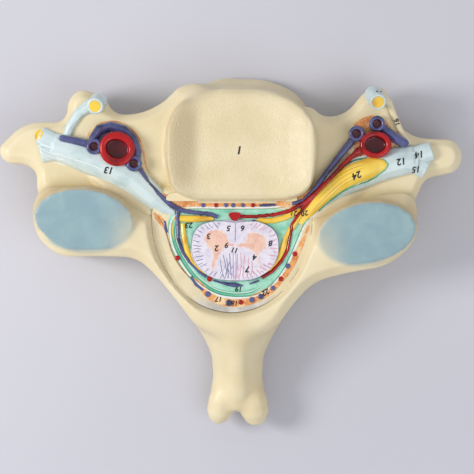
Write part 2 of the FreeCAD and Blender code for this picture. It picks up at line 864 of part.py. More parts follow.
def anterior_spinal_artery():
    """Cut artery in the cord's front fissure, a rounded triangle in plan."""
    corners = ((-8, 1.5), (-1, -7.5), (6, 1.5), (-1, 3))
    return prism(
        "anterior_spinal_artery_blank",
        level_outline("anterior_artery_profile", corners, size("layer_top")),
        "Sizes.cord_top + 0.8 - Sizes.layer_top",
    )


LEFT_PAD = (
    (-128, 50), (-118, 38), (-98, 34), (-80, 38), (-77, 52), (-82, 68), (-93, 78), (-108, 80.5),
    (-122, 75), (-129, 63),
)
RIGHT_PAD = (
    (94, 54), (104, 48), (124, 47), (146, 54), (146, 63), (134, 72), (128, 83), (116, 86),
    (106, 82), (96, 74),
)


def foraminal_pad(label, corners):
    """Bed of fat in which the vessels of one side stand."""
    profile = level_outline(f"{label}_profile", corners, size("plate_top"))
    return prism(f"{label}_blank", profile, "Sizes.pad_top - Sizes.plate_top")


# Assembly. Each piece is cut by the ones that lie on it or pass through it, so that
# neighbours fit face to face and nothing overlaps.

def fat_share(label, ring, corner, length, width):
    """The stretch of the fat ring inside a box."""
    box = doc.addObject("Part::Box", f"{label}_reach")
    box.Length = length
    box.Width = width
    box.Height = size("body_height")
    box.Placement.Base = at(*corner)
    part = doc.addObject("Part::Common", f"{label}_blank")
    part.Base = ring
    part.Tool = box
    return part


def collect_pieces():
    """Solids and bores of every insert, from the topmost to the lowest."""
    pieces = {"right_vertebral_artery": right_artery()}
    wall, bore = artery_stump("left_artery_stump", -102.5, 56.5, 0.97, -20)
    pieces["left_vertebral_artery"] = ([wall], [bore])
    pieces["left_vertebral_vein"] = left_vein()
    pieces["right_inner_vein"] = right_inner_vein()
    pieces["right_outer_vein"] = right_outer_vein()
    plain = {
        "anterior_spinal_artery": [anterior_spinal_artery()],
        "posterior_spinal_artery": [bead("posterior_spinal_artery_bead", -22.5, -54.5, 1.2)],
        "spinal_veins": spinal_veins(),
        "epidural_arteries": beads("epidural_artery", EPIDURAL_ARTERIES),
        "epidural_veins": beads("epidural_vein", EPIDURAL_VEINS) + epidural_streaks(),
        "grey_matter": [grey_matter()],
        "spinal_cord": [spinal_cord()],
    }
    for name, (places, shares) in ROOTS.items():
        plain[name] = [layer_strip(f"{name}_core", "root_radius", "root_height", places, shares)]
    core, sleeve = ganglion()
    plain["right_ganglion"] = [core]
    plain["right_ganglion_sleeve"] = [sleeve]
    plain["nerve_cut_faces"] = [
        cut_face("left_branch_face", -120, 92.5, 74, (-2, -4.5, 14), 1.08),
        cut_face("right_branch_face", 121, 96, 74, (3, -7, 14), 1.12),
    ]
    plain["left_anterior_branch"] = anterior_branch(
        "left_branch", ((-146, 64), (-142, 76), (-135, 87), (-127, 93), (-119, 96.5)),
        (0.5, 0.52, 0.6, 0.7, 0.8), (-120, 92.5, 74), (2, 4.5),
    )
    plain["right_anterior_branch"] = anterior_branch(
        "right_branch", ((148, 60), (141, 72), (136, 84), (131, 96), (120, 102)),
        (0.4, 0.34, 0.34, 0.42, 0.7), (121, 96, 74), (-3, 7),
    )
    plain["arachnoid_bed"] = [layer_prism("arachnoid_blank", "arachnoid")]
    plain["dura_sheath"] = [layer_prism("dura_blank", "dura")]
    ring = cut("fat_ring", layer_prism("fat_blank", "fat"), [layer_prism("rib_blank", "rib")])
    plain["anterior_epidural_fat"] = [fat_share("anterior_fat", ring, (-57, 4), 107, 60)]
    plain["posterior_epidural_fat"] = [fat_share("posterior_fat", ring, (-150, -202), 300, 200)]
    plain["canal_bed"] = [layer_prism("canal_blank", "canal", "bed_bottom")]
    plain["left_spinal_nerve"] = left_nerve()
    plain["right_spinal_nerve"] = right_nerve()
    plain["left_foraminal_fat"] = [foraminal_pad("left_pad", LEFT_PAD)]
    plain["right_foraminal_fat"] = [foraminal_pad("right_pad", RIGHT_PAD)]
    for name, solids in plain.items():
        pieces[name] = (solids, [])
    return pieces


# For each piece, the others whose solids cut it
MEETINGS = {
    "left_vertebral_vein": ("left_vertebral_artery", "canal_bed"),
    "right_inner_vein": ("right_vertebral_artery", "canal_bed"),
    "right_outer_vein": ("right_vertebral_artery",),
    "anterior_spinal_artery": ("right_vertebral_artery",),
    "spinal_veins": ("posterior_spinal_artery", "spinal_cord"),
    "spinal_cord": ("grey_matter", "anterior_spinal_artery", "right_vertebral_artery"),
    "left_ventral_root": ("left_vertebral_vein", "spinal_cord"),
    "left_dorsal_root": ("left_vertebral_vein", "left_ventral_root", "spinal_cord"),
    "right_ventral_root": ("right_vertebral_artery", "spinal_cord"),
    "right_dorsal_root": ("right_vertebral_artery", "right_ventral_root", "spinal_cord"),
    "right_ganglion": (
        "right_vertebral_artery", "right_ventral_root", "right_dorsal_root", "canal_bed",
    ),
    "right_ganglion_sleeve": (
        "right_vertebral_artery", "right_ventral_root", "right_dorsal_root", "right_ganglion",
        "canal_bed",
    ),
    "left_anterior_branch": ("nerve_cut_faces",),
    "right_anterior_branch": ("nerve_cut_faces",),
    "arachnoid_bed": ("spinal_cord",),
    "dura_sheath": ("arachnoid_bed",),
    "canal_bed": ("dura_sheath", "anterior_epidural_fat", "posterior_epidural_fat"),
    "left_spinal_nerve": (
        "left_vertebral_artery", "left_vertebral_vein", "left_anterior_branch", "canal_bed",
    ),
    "right_spinal_nerve": (
        "right_vertebral_artery", "right_inner_vein", "right_outer_vein",
        "right_anterior_branch", "right_ganglion", "right_ganglion_sleeve",
        "right_dorsal_root", "canal_bed",
    ),
    "left_foraminal_fat": ("left_vertebral_artery", "left_spinal_nerve"),
    "right_foraminal_fat": (
        "right_vertebral_artery", "right_spinal_nerve", "right_anterior_branch",
    ),
}


def seat_pieces(pieces):
    """Node of each insert, cut by its bores and by the pieces that it meets."""
    nodes = {}
    for name, (solids, bores) in pieces.items():
        blank = solids[0] if len(solids) == 1 else fuse(f"{name}_blank", solids)
        tools = list(bores)
        for other in MEETINGS.get(name, ()):
            tools += pieces[other][0]
        nodes[name] = cut(name, blank, tools) if tools else blank
    return nodes


pieces = collect_pieces()
nodes = seat_pieces(pieces)
SEATED_PIECES = ("left_vertebral_artery", "right_vertebral_artery", "right_spinal_nerve")
nodes["vertebra"] = vertebra([pieces[name][0][0] for name in SEATED_PIECES])
doc.recompute()

for label, node in nodes.items():
    node.Label = label
for thing in doc.Objects:
    if "Invalid" in thing.State or "Error" in thing.State:
        raise RuntimeError(f"{thing.Name} failed: {thing.State}")
for label, node in nodes.items():
    if node.Shape.isNull() or not node.Shape.isValid():
        raise RuntimeError(f"{label} has no valid shape")

os.makedirs("parts", exist_ok=True)
for label, node in nodes.items():
    node.Shape.exportStep(f"parts/{label}.step")
    print(label, len(node.Shape.Solids), round(node.Shape.Volume))
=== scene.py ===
import math
import random

import bmesh
import bpy
import numpy as np
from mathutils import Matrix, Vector, geometry
from mathutils.bvhtree import BVHTree


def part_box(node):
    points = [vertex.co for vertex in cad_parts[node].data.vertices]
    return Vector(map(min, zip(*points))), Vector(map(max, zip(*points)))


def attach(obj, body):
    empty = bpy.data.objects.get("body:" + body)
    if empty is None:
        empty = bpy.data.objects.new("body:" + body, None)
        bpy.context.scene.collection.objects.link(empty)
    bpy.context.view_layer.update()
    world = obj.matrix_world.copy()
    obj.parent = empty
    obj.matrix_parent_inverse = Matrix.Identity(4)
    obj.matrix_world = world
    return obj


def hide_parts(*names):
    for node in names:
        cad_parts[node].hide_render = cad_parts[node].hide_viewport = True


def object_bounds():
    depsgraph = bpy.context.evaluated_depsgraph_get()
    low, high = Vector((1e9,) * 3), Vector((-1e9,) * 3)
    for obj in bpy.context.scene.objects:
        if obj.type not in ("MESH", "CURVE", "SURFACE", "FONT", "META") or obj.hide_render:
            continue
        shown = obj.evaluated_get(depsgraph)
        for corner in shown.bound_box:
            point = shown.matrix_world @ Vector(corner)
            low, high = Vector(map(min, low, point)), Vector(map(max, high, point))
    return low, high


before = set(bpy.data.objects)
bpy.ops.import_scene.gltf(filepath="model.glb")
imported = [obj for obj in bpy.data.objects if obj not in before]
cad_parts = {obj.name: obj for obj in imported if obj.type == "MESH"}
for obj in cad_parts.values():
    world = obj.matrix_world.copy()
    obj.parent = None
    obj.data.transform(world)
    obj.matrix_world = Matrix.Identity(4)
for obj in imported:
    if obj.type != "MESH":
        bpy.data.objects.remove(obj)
cad_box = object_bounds()

# Looks of the spine anatomy model: a satin casting that carries glossy painted pieces.
# Places in the plan are millimetres from the middle of the spinal canal, as on the solids,
# and heights are millimetres above the table. Turns are degrees, counted anticlockwise.
MM = 0.001
UP = Vector((0, 0, 1))

# The canal's middle, right of the bed's middle and behind the bed's front edge
CANAL_OFFSET_X = 3.5
CANAL_FRONT = 12
bed_low, bed_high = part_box("canal_bed")
CANAL_X = (bed_low.x + bed_high.x) / 2 + CANAL_OFFSET_X * MM
CANAL_Y = bed_high.y - CANAL_FRONT * MM


def at(x, y, z=0.0):
    """A place about the canal's middle in millimetres, as a point of the frame."""
    return Vector((CANAL_X + x * MM, CANAL_Y + y * MM, z * MM))


def linear(red, green, blue):
    """A colour given as 0 to 255 on screen, as the shader's linear colour."""
    def channel(value):
        share = value / 255
        return share / 12.92 if share <= 0.04045 else ((share + 0.055) / 1.055) ** 2.4
    return channel(red), channel(green), channel(blue), 1.0


# A colour of the object, or two tones of one paint; some also stand in for light and shade
BONE = linear(233, 219, 181)
# Also the painted shade where the casting curves inwards
BONE_DEEP = linear(205, 182, 128)
# Painted highlight on the casting's raised edges
BONE_HIGHLIGHT = linear(240, 230, 200)
# Painted shade on the dish's slopes, and the tan round the facets
BONE_TAN = linear(198, 176, 136)
FACET = linear(138, 166, 174), linear(150, 178, 182)
NERVE = linear(208, 224, 224)
NERVE_DEEP = linear(188, 207, 209)
RED = linear(176, 2, 8), linear(112, 2, 6)
LUMEN = linear(112, 14, 30)
INDIGO = linear(84, 88, 138), linear(46, 50, 88)
YELLOW_PALE = linear(250, 216, 92)
YELLOW = linear(244, 204, 66)
YELLOW_DEEP = linear(220, 160, 36)
YELLOW_DARK = linear(190, 128, 30)
ORANGE = linear(236, 168, 102), linear(214, 132, 66)
CELL_PALE = linear(248, 222, 172)
GREEN = linear(104, 190, 156)
GREEN_BRUSHED = linear(86, 176, 140)
GREEN_DEEP = linear(58, 152, 114)
GREEN_DARK = linear(40, 124, 92)
MINT = linear(176, 226, 204), linear(128, 202, 172)
GREY = linear(214, 212, 208), linear(184, 178, 168)
CORD = linear(232, 226, 236)
CORD_DEEP = linear(214, 206, 222)
SALMON = linear(240, 196, 166), linear(226, 164, 136)
SALMON_DOT = linear(216, 146, 120)
WHITE = linear(240, 238, 234)
WHITE_DEEP = linear(222, 222, 216)
CREAM_DEEP = linear(222, 208, 172)
# Painted shadow along the canal's left wall
CANAL_SHADOW = linear(176, 132, 84), linear(128, 88, 56)
LAVENDER = linear(146, 146, 176), linear(108, 110, 146)
ROSE = linear(218, 154, 172), linear(190, 120, 144)
SHADE = linear(190, 196, 190), linear(168, 172, 162)
INK = linear(28, 24, 26)
INK_DEEP = linear(54, 48, 50)
TABLE = linear(206, 206, 214), linear(199, 199, 208)


# Materials

class Shader:
    """A material's nodes, with short calls to add and join them."""

    def __init__(self, name, roughness, coat=0.0):
        self.material = bpy.data.materials.new(name)
        self.material.use_nodes = True
        self.nodes = self.material.node_tree.nodes
        self.links = self.material.node_tree.links
        self.surface = self.nodes["Principled BSDF"]
        self.put(self.surface, roughness=roughness, coat_weight=coat, coat_roughness=0.12)
        self.place = self.nodes.new("ShaderNodeTexCoord").outputs["Object"]

    def join(self, source, target):
        self.links.new(source, target)

    def put(self, node, **values):
        """Values of a node's inputs, such as from_min for From Min."""
        for name, value in values.items():
            node.inputs[name.replace("_", " ").title()].default_value = value

    def texture(self, kind, **values):
        """A texture node that lies on the object's own places."""
        node = self.nodes.new(f"ShaderNodeTex{kind}")
        self.put(node, **values)
        self.join(self.place, node.inputs["Vector"])
        return node

    def noise(self, scale, detail=3.0, roughness=0.5):
        node = self.texture("Noise", scale=scale, detail=detail, roughness=roughness)
        return node.outputs["Fac"]

    def cells(self, scale):
        """Distance from the nearest of many scattered dots."""
        return self.texture("Voronoi", scale=scale).outputs["Distance"]

    def ramp(self, source, low, high, start=0.0, end=1.0):
        """Source mapped so that low gives start and high gives end, held beyond them."""
        node = self.nodes.new("ShaderNodeMapRange")
        node.interpolation_type = "SMOOTHSTEP"
        self.put(node, from_min=low, from_max=high, to_min=start, to_max=end)
        self.join(source, node.inputs["Value"])
        return node.outputs["Result"]

    def clouds(self, scale, detail, low, high, roughness=0.5):
        """Soft patches, 0 where the noise is under low and 1 where it is over high."""
        return self.ramp(self.noise(scale, detail, roughness), low, high)

    def streaks(self, scale):
        return self.clouds(scale, 5.0, 0.38, 0.66, roughness=0.65)

    def reckon(self, operation, first, second):
        node = self.nodes.new("ShaderNodeMath")
        node.operation = operation
        self.join(first, node.inputs[0])
        if isinstance(second, float):
            node.inputs[1].default_value = second
        else:
            self.join(second, node.inputs[1])
        return node.outputs[0]

    def product(self, first, second):
        return self.reckon("MULTIPLY", first, second)

    def total(self, first, second):
        return self.reckon("ADD", first, second)

    def mix(self, share, first, second):
        """First colour where share is 0 and second where it is 1."""
        node = self.nodes.new("ShaderNodeMix")
        node.data_type = "RGBA"
        self.join(share, node.inputs["Factor"])
        for colour, socket in ((first, "A"), (second, "B")):
            target = [s for s in node.inputs if s.name == socket and s.type == "RGBA"][0]
            if isinstance(colour, tuple):
                target.default_value = colour
            else:
                self.join(colour, target)
        return [s for s in node.outputs if s.type == "RGBA"][0]

    def along(self, axis, low, high):
        """0 below one place on an axis, in metres, and 1 above another."""
        node = self.nodes.new("ShaderNodeSeparateXYZ")
        self.join(self.place, node.inputs["Vector"])
        return self.ramp(node.outputs[axis], low, high)

    def mask(self, attribute):
        node = self.nodes.new("ShaderNodeAttribute")
        node.attribute_name = attribute
        return node.outputs["Fac"]

    def colour(self, source):
        self.join(source, self.surface.inputs["Base Color"])

    def roughness(self, source):
        self.join(source, self.surface.inputs["Roughness"])

    def bump(self, height, distance, strength):
        """Relief as deep as distance, in millimetres."""
        node = self.nodes.new("ShaderNodeBump")
        self.put(node, distance=distance * MM, strength=strength)
        self.join(height, node.inputs["Height"])
        self.join(node.outputs["Normal"], self.surface.inputs["Normal"])

    def brushed(self, colour, deep):
        """Two close tones of one paint, with faint brush grain."""
        self.bump(self.noise(420, 2.0), 0.12, 0.5)
        return self.mix(self.clouds(70, 4.0, 0.42, 0.72), colour, deep)


def painted(name, colour, deep, roughness, coat, lumen=False):
    """Brushed gloss paint with uneven gloss, dark inside the bores where lumen is set."""
    shader = Shader(name, roughness, coat)
    result = shader.brushed(colour, deep)
    if lumen:
        result = shader.mix(shader.mask("lumen"), result, LUMEN)
    shader.colour(result)
    shader.roughness(shader.ramp(shader.noise(190), 0.3, 0.7, roughness - 0.06, roughness + 0.1))
    return shader.material


def bone_paint():
    """Satin cream casting: mottled, with painted shade and highlights, airbrushed blue facets."""
    shader = Shader("bone_paint", 0.46, 0.05)
    mottle = shader.clouds(22, 5.0, 0.35, 0.75, roughness=0.6)
    cream = shader.mix(shader.product(mottle, 0.35), BONE, BONE_DEEP)
    # Painted highlight on the casting's raised edges
    pale = shader.mix(shader.mask("ridge_highlight"), cream, BONE_HIGHLIGHT)
    dish_shade = shader.product(shader.mask("dish_shade"), 0.55)
    shaded = shader.mix(dish_shade, pale, BONE_TAN)
    tan_ringed = shader.mix(shader.mask("halo"), shaded, BONE_TAN)
    # Painted shade where the casting curves inwards
    inward_shaded = shader.mix(shader.mask("crease_shade"), tan_ringed, BONE_DEEP)
    dots = shader.cells(620)
    pores = shader.ramp(dots, 0.0, 0.42, 1.0, 0.0)
    pitted = shader.product(shader.product(pores, shader.mask("dish")), 0.35)
    speckled = shader.mix(pitted, inward_shaded, BONE_DEEP)
    airbrush = shader.mix(shader.clouds(55, 3.0, 0.35, 0.7), *FACET)
    shader.colour(shader.mix(shader.mask("facet"), speckled, airbrush))
    shader.roughness(shader.ramp(shader.noise(130), 0.3, 0.7, 0.42, 0.58))
    pits = shader.product(dots, shader.mask("dish"))
    grain = shader.product(shader.noise(260, 4.0), 0.35)
    shader.bump(shader.total(pits, grain), 0.45, 0.6)
    return shader.material


def fat_paint(name, from_x=None):
    """Orange fat: pale cells on darker joints, or bone left of one place in the plan."""
    shader = Shader(name, 0.38, 0.15)
    cells = shader.cells(430)
    tone = shader.mix(shader.clouds(120, 4.0, 0.4, 0.66), *ORANGE)
    clouded = shader.mix(shader.ramp(shader.noise(95), 0.52, 0.66, 0.0, 0.8), tone, CELL_PALE)
    result = shader.mix(shader.ramp(cells, 0.12, 0.42, 0.6, 0.0), clouded, CELL_PALE)
    if from_x is not None:
        edge = CANAL_X + from_x * MM
        result = shader.mix(shader.along("X", edge - MM, edge + MM), BONE, result)
    shader.colour(result)
    shader.bump(shader.ramp(cells, 0.0, 0.6, 1.0, 0.0), 0.6, 0.8)
    return shader.material


def layered(name, colour, deep, scale, roughness=0.35):
    """Brushed band of a sheath: streaked between two tones."""
    shader = Shader(name, roughness, 0.2)
    shader.colour(shader.mix(shader.streaks(scale), colour, deep))
    shader.bump(shader.noise(scale * 3), 0.3, 0.6)
    return shader.material


def bed_paint():
    """Brushed bed: grey-white at the back of the canal, cream on its sides."""
    shader = Shader("bed_paint", 0.38, 0.15)
    streaks = shader.streaks(60)
    grey = shader.mix(streaks, *GREY)
    cream = shader.mix(streaks, BONE, CREAM_DEEP)
    front = shader.along("Y", CANAL_Y - 80 * MM, CANAL_Y - 66 * MM)
    shader.colour(shader.mix(front, grey, cream))
    shader.bump(shader.noise(180), 0.3, 0.6)
    return shader.material


def dura_paint():
    """Brushed sheath: green on the left and behind, thinning to mint on the right."""
    shader = Shader("dura_paint", 0.35, 0.2)
    streaks = shader.streaks(90)
    strong = shader.mix(streaks, GREEN, GREEN_BRUSHED)
    faint = shader.mix(streaks, *MINT)
    right = shader.along("X", CANAL_X - 10 * MM, CANAL_X + 32 * MM)
    front = shader.along("Y", CANAL_Y - 12 * MM, CANAL_Y - 2 * MM)
    side = shader.mix(right, strong, faint)
    shader.colour(shader.mix(front, side, faint))
    shader.bump(shader.noise(270), 0.3, 0.6)
    return shader.material


def stump_paint():
    """Nerve paint on the right stump, leaving its arm in the colour of the bone."""
    shader = Shader("stump_paint", 0.3, 0.3)
    arm = shader.along("X", CANAL_X + 125 * MM, CANAL_X + 131 * MM)
    shader.colour(shader.mix(arm, shader.brushed(NERVE, NERVE_DEEP), BONE))
    return shader.material


def grey_matter_paint():
    """Salmon stipple that thins out towards the edge of its field."""
    shader = Shader("grey_matter_paint", 0.42, 0.1)
    soft = shader.mix(shader.clouds(110, 4.0, 0.38, 0.66), *SALMON)
    dots = shader.ramp(shader.cells(560), 0.0, 0.4, 0.85, 0.0)
    stippled = shader.mix(dots, soft, SALMON_DOT)
    ragged = shader.total(shader.mask("inset"), shader.product(shader.noise(380, 4.0), 5.0))
    shader.colour(shader.mix(shader.ramp(ragged, 2.2, 4.6, 0.0, 0.85), CORD, stippled))
    shader.bump(shader.noise(520), 0.25, 0.6)
    return shader.material


def ink_paint(name, colour, deep):
    """Thin brushed line of ink or paint."""
    shader = Shader(name, 0.4)
    shader.colour(shader.mix(shader.clouds(600, 3.0, 0.4, 0.7), colour, deep))
    return shader.material


def table_paint():
    shader = Shader("table_paint", 0.62)
    shader.colour(shader.mix(shader.clouds(2.2, 2.0, 0.3, 0.7), *TABLE))
    return shader.material


# Meshes

def placed(name, data):
    """A new object in the scene."""
    thing = bpy.data.objects.new(name, data)
    bpy.context.scene.collection.objects.link(thing)
    return thing


def made_of(thing):
    """The mesh that an object comes to, in the place of the object."""
    graph = bpy.context.evaluated_depsgraph_get()
    mesh = bpy.data.meshes.new_from_object(thing.evaluated_get(graph))
    bpy.data.objects.remove(thing)
    return mesh


def show(name, mesh, material):
    """A finished piece of the object, in the frame's place, riding on its one body."""
    piece = placed(name, mesh)
    mesh.materials.clear()
    mesh.materials.append(material)
    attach(piece, "root")
    return piece


def remeshed(node, voxel):
    """A closed, even mesh over a CAD node."""
    rough = placed(f"{node}_rough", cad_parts[node].data.copy())
    remesh = rough.modifiers.new("even", "REMESH")
    remesh.mode = "VOXEL"
    remesh.voxel_size = voxel * MM
    remesh.use_smooth_shade = True
    return made_of(rough)


def points_of(mesh, kind="co"):
    flat = np.empty(len(mesh.vertices) * 3)
    mesh.vertices.foreach_get(kind, flat)
    return flat.reshape(-1, 3)


def normals_of(mesh):
    return points_of(mesh, "normal")


def set_points(mesh, points):
    mesh.vertices.foreach_set("co", points.ravel())
    mesh.update()


class Neighbours:
    """Averages over each vertex's neighbours."""

    def __init__(self, mesh):
        ends = np.empty(len(mesh.edges) * 2, np.int64)
        mesh.edges.foreach_get("vertices", ends)
        ends = ends.reshape(-1, 2)
        self.near = np.concatenate((ends[:, 0], ends[:, 1]))
        self.far = np.concatenate((ends[:, 1], ends[:, 0]))
        self.size = len(mesh.vertices)
        self.count = np.maximum(np.bincount(self.near, minlength=self.size), 1)

    def mean(self, values):
        if values.ndim == 1:
            return np.bincount(self.near, values[self.far], self.size) / self.count
        return np.stack([self.mean(values[:, i]) for i in range(values.shape[1])], axis=1)


def relaxed(points, neighbours, share, rounds):
    """Points moved by a share of the way to the mean of their neighbours in each round."""
    for _ in range(rounds):
        points = points + (neighbours.mean(points) - points) * share
    return points


# Shares of one step in and the step out that gives its volume back
STEP_IN = 0.5
STEP_OUT = -0.52


def smoothed(points, neighbours, rounds):
    """Points relaxed without losing their volume."""
    for _ in range(rounds):
        points = relaxed(points, neighbours, STEP_IN, 1)
        points = relaxed(points, neighbours, STEP_OUT, 1)
    return points


# Shares by which hollows fill and ridges wear in one round
FILL = 0.6
WEAR = 0.04


def filled(points, mesh, neighbours, rounds):
    """Points moved out where the surface is hollow, so that joints blend as in a casting."""
    for _ in range(rounds):
        drift = neighbours.mean(points) - points
        outward = np.einsum("ij,ij->i", drift, normals_of(mesh))
        points = points + drift * np.where(outward > 0, FILL, WEAR)[:, None]
        set_points(mesh, points)
    return points


def mark(mesh, name, values):
    layer = mesh.attributes.new(name, "FLOAT", "POINT")
    layer.data.foreach_set("value", values.astype(np.float32))


def soft_step(values, low, high):
    share = np.clip((values - low) / (high - low), 0, 1)
    return share * share * (3 - 2 * share)


def plan_of(points):
    """Each point's place in the plan, in millimetres about the canal."""
    return (points[:, 0] - CANAL_X) / MM, (points[:, 1] - CANAL_Y) / MM


def turned(x, y, run, rise, turn):
    """The place at a run and rise from another, turned about it."""
    angle = math.radians(turn)
    return (
        x + run * math.cos(angle) - rise * math.sin(angle),
        y + run * math.sin(angle) + rise * math.cos(angle),
    )


def in_oval(points, oval, edge):
    """1 inside an oval of the plan and 0 outside, changing softly over edge."""
    x, y, half_length, half_width, turn = oval
    across, along = plan_of(points)
    run, rise = turned(0, 0, across - x, along - y, -turn)
    reach = np.sqrt((run / half_length) ** 2 + (rise / half_width) ** 2)
    margin = edge / half_width
    return 1 - soft_step(reach, 1 - margin, 1 + margin)


# Skins that are wider than their solids: middle, share and shift along X
WIDENED = {"left_vertebral_artery": (-102.5, 56.5, 1.12, 1.1)}
# Skins that are thinner away from a place: that place, its reach and how much
THINNED = {
    "right_vertebral_artery": (119, 60, 16, 1.1),
    "left_vertebral_vein": (-104, 52, 34, 0.8),
}
THINNING_RUN = 5
# The dark paint of a bore reaches a little onto its wall and stops short of its mouth
BORE_REACH = 1.06
BORE_MOUTH = 0.9


def skin(node, material, voxel, rounds, swell, bores):
    """Rounded skin over a CAD node, with its bores marked for their dark paint."""
    mesh = remeshed(node, voxel)
    points = smoothed(points_of(mesh), Neighbours(mesh), rounds)
    set_points(mesh, points)
    points = points + normals_of(mesh) * swell * MM
    if node in WIDENED:
        x, y, share, shift = WIDENED[node]
        middle = np.array(at(x, y)[:2])
        points[:, :2] = middle + (points[:, :2] - middle) * share + np.array((shift * MM, 0))
    if node in THINNED:
        x, y, clear, less = THINNED[node]
        across, along = plan_of(points)
        far = soft_step(np.hypot(across - x, along - y), clear, clear + THINNING_RUN)
        points = points - normals_of(mesh) * (far * less * MM)[:, None]
    set_points(mesh, points)
    hollow = np.zeros(len(points))
    across, along = plan_of(points)
    for x, y, half_width, half_depth, top in bores:
        reach = np.sqrt(((across - x) / half_width) ** 2 + ((along - y) / half_depth) ** 2)
        inside = (reach < BORE_REACH) & (points[:, 2] / MM < top - BORE_MOUTH)
        hollow = np.maximum(hollow, inside)
    mark(mesh, "lumen", hollow)
    piece = show(f"{node}_skin", mesh, material)
    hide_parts(node)
    return piece


# Vertebra. An oval is its middle, half-length, half-width and turn

VERTEBRA_VOXEL = 1.7
ARCH_JOINT = (1.5, -102, 50, 22, 0)
RIGHT_DISH_SLOPE = (36, 58, 28, 36, 0)
DISH_SLOPE_FLOOR = 72
RIM_OUTSIDE = (5, 66, 80, 66, 0)
RIM_INSIDE = (3, 63, 50, 38, 0)
RIM_HEIGHTS = (68, 76)
SHOULDER = (-31, 109, 14, 12, 20)
# Hollows beside the nerves and the body, filled up to one level of the skin
HOLLOWS = (
    (-92, 14, 34, 6.5, -33), (80, 5, 26, 6, 29), (-50, 17.5, 17, 6, 0), (54, 17.5, 11, 6, 0),
)
HOLLOW_LEVEL = 65.6
HOLLOW_FLOOR = 42


def blended(points, neighbours):
    """The casting's points, softened where its parts run into each other."""
    height = points[:, 2] / MM
    arch_joint = in_oval(points, ARCH_JOINT, 18)
    dish_slope = in_oval(points, RIGHT_DISH_SLOPE, 9) * (height > DISH_SLOPE_FLOOR)
    rim = np.clip(in_oval(points, RIM_OUTSIDE, 6) - in_oval(points, RIM_INSIDE, 8), 0, 1)
    rim = rim * soft_step(height, *RIM_HEIGHTS) * 0.7
    blend = np.max((arch_joint, dish_slope, rim), axis=0)
    points = points + (relaxed(points, neighbours, 1.0, 45) - points) * blend[:, None]
    return relaxed(points, neighbours, in_oval(points, SHOULDER, 6)[:, None], 60)


def levelled(points, neighbours):
    """The casting's points, with its hollows filled up to their level."""
    joined = np.max([in_oval(points, oval, 2.5) for oval in HOLLOWS], axis=0)
    joined *= points[:, 2] > HOLLOW_FLOOR * MM
    points[:, 2] += joined * np.maximum(HOLLOW_LEVEL * MM - points[:, 2], 0)
    return relaxed(points, neighbours, (joined * 0.6)[:, None], 6)


# Middle of each facet, its turn, and the side on which its paint thins
FACETS = ((-129.5, -5, -6, 1), (112.5, -16, 9, -1))
FACET_HALF_LENGTH = 43.3
FACET_HALF_WIDTH = 27
HALO_LONGER = 8
HALO_WIDER = 9


def mark_facets(mesh, points):
    """Fields of the blue airbrush and of the tan round it, stronger towards the body."""
    across, along = plan_of(points)
    facet = np.zeros(len(points))
    halo = np.zeros(len(points))
    for x, y, turn, thin_side in FACETS:
        oval = in_oval(points, (x, y, FACET_HALF_LENGTH, FACET_HALF_WIDTH, turn), 2.2)
        thin = soft_step((across - x) * thin_side, 12, 46) * soft_step(y - along, -30, 24)
        facet = np.maximum(facet, oval * (1 - 0.6 * thin))
        half_length = FACET_HALF_LENGTH + HALO_LONGER
        wider = in_oval(points, (x, y, half_length, FACET_HALF_WIDTH + HALO_WIDER, turn), 8)
        halo = np.maximum(halo, wider * soft_step(along - y, -14, 16) * 0.75)
    mark(mesh, "facet", facet * soft_step(normals_of(mesh)[:, 2], 0.5, 0.8))
    mark(mesh, "halo", halo)


LEFT_SHADE = (-54, 66, 21, 44, 0)
LEFT_SHADE_EDGE = -59
RIGHT_SHADE = (55, 60, 18, 42, 0)
RIGHT_SHADE_EDGE = 62
SHADE_HEIGHTS = (70, 76)
DISH_MIDDLE_X = 0.4
DISH_HALF_WIDTH = 60
DISH_BACK = 12
DISH_FLOOR = 74


def mark_dish(mesh, points):
    """Fields of the dish's stipple and of the shade on its slopes."""
    across, along = plan_of(points)
    height = points[:, 2] / MM
    left = in_oval(points, LEFT_SHADE, 15) * (across > LEFT_SHADE_EDGE)
    right = in_oval(points, RIGHT_SHADE, 12) * (across < RIGHT_SHADE_EDGE) * 0.4
    mark(mesh, "dish_shade", np.maximum(left, right) * soft_step(height, *SHADE_HEIGHTS))
    inside = (np.abs(across - DISH_MIDDLE_X) < DISH_HALF_WIDTH) & (along > DISH_BACK)
    inside &= height > DISH_FLOOR
    mark(mesh, "dish", inside * soft_step(normals_of(mesh)[:, 2], 0.75, 0.92))


def vertebra_skin():
    """The casting: blended joints, airbrushed facets and a stippled dish."""
    mesh = remeshed("vertebra", VERTEBRA_VOXEL)
    neighbours = Neighbours(mesh)
    points = filled(points_of(mesh), mesh, neighbours, 20)
    points = smoothed(points, neighbours, 8)
    points = levelled(blended(points, neighbours), neighbours)
    set_points(mesh, points)
    mark_facets(mesh, points)
    mark_dish(mesh, points)
    # Painted shade where the surface curves inwards, painted highlight where it curves outwards
    broad = relaxed(points, neighbours, 1.0, 18)
    bulge = np.einsum("ij,ij->i", points - broad, normals_of(mesh)) / MM
    mark(mesh, "crease_shade", soft_step(-bulge, 0.25, 2.2) * 0.75)
    mark(mesh, "ridge_highlight", soft_step(bulge, 0.3, 2.5) * 0.35)
    piece = show("vertebra_skin", mesh, bone)
    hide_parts("vertebra")
    return piece


bone = bone_paint()
bone_piece = vertebra_skin()


# Vessels, roots, nerves and layers

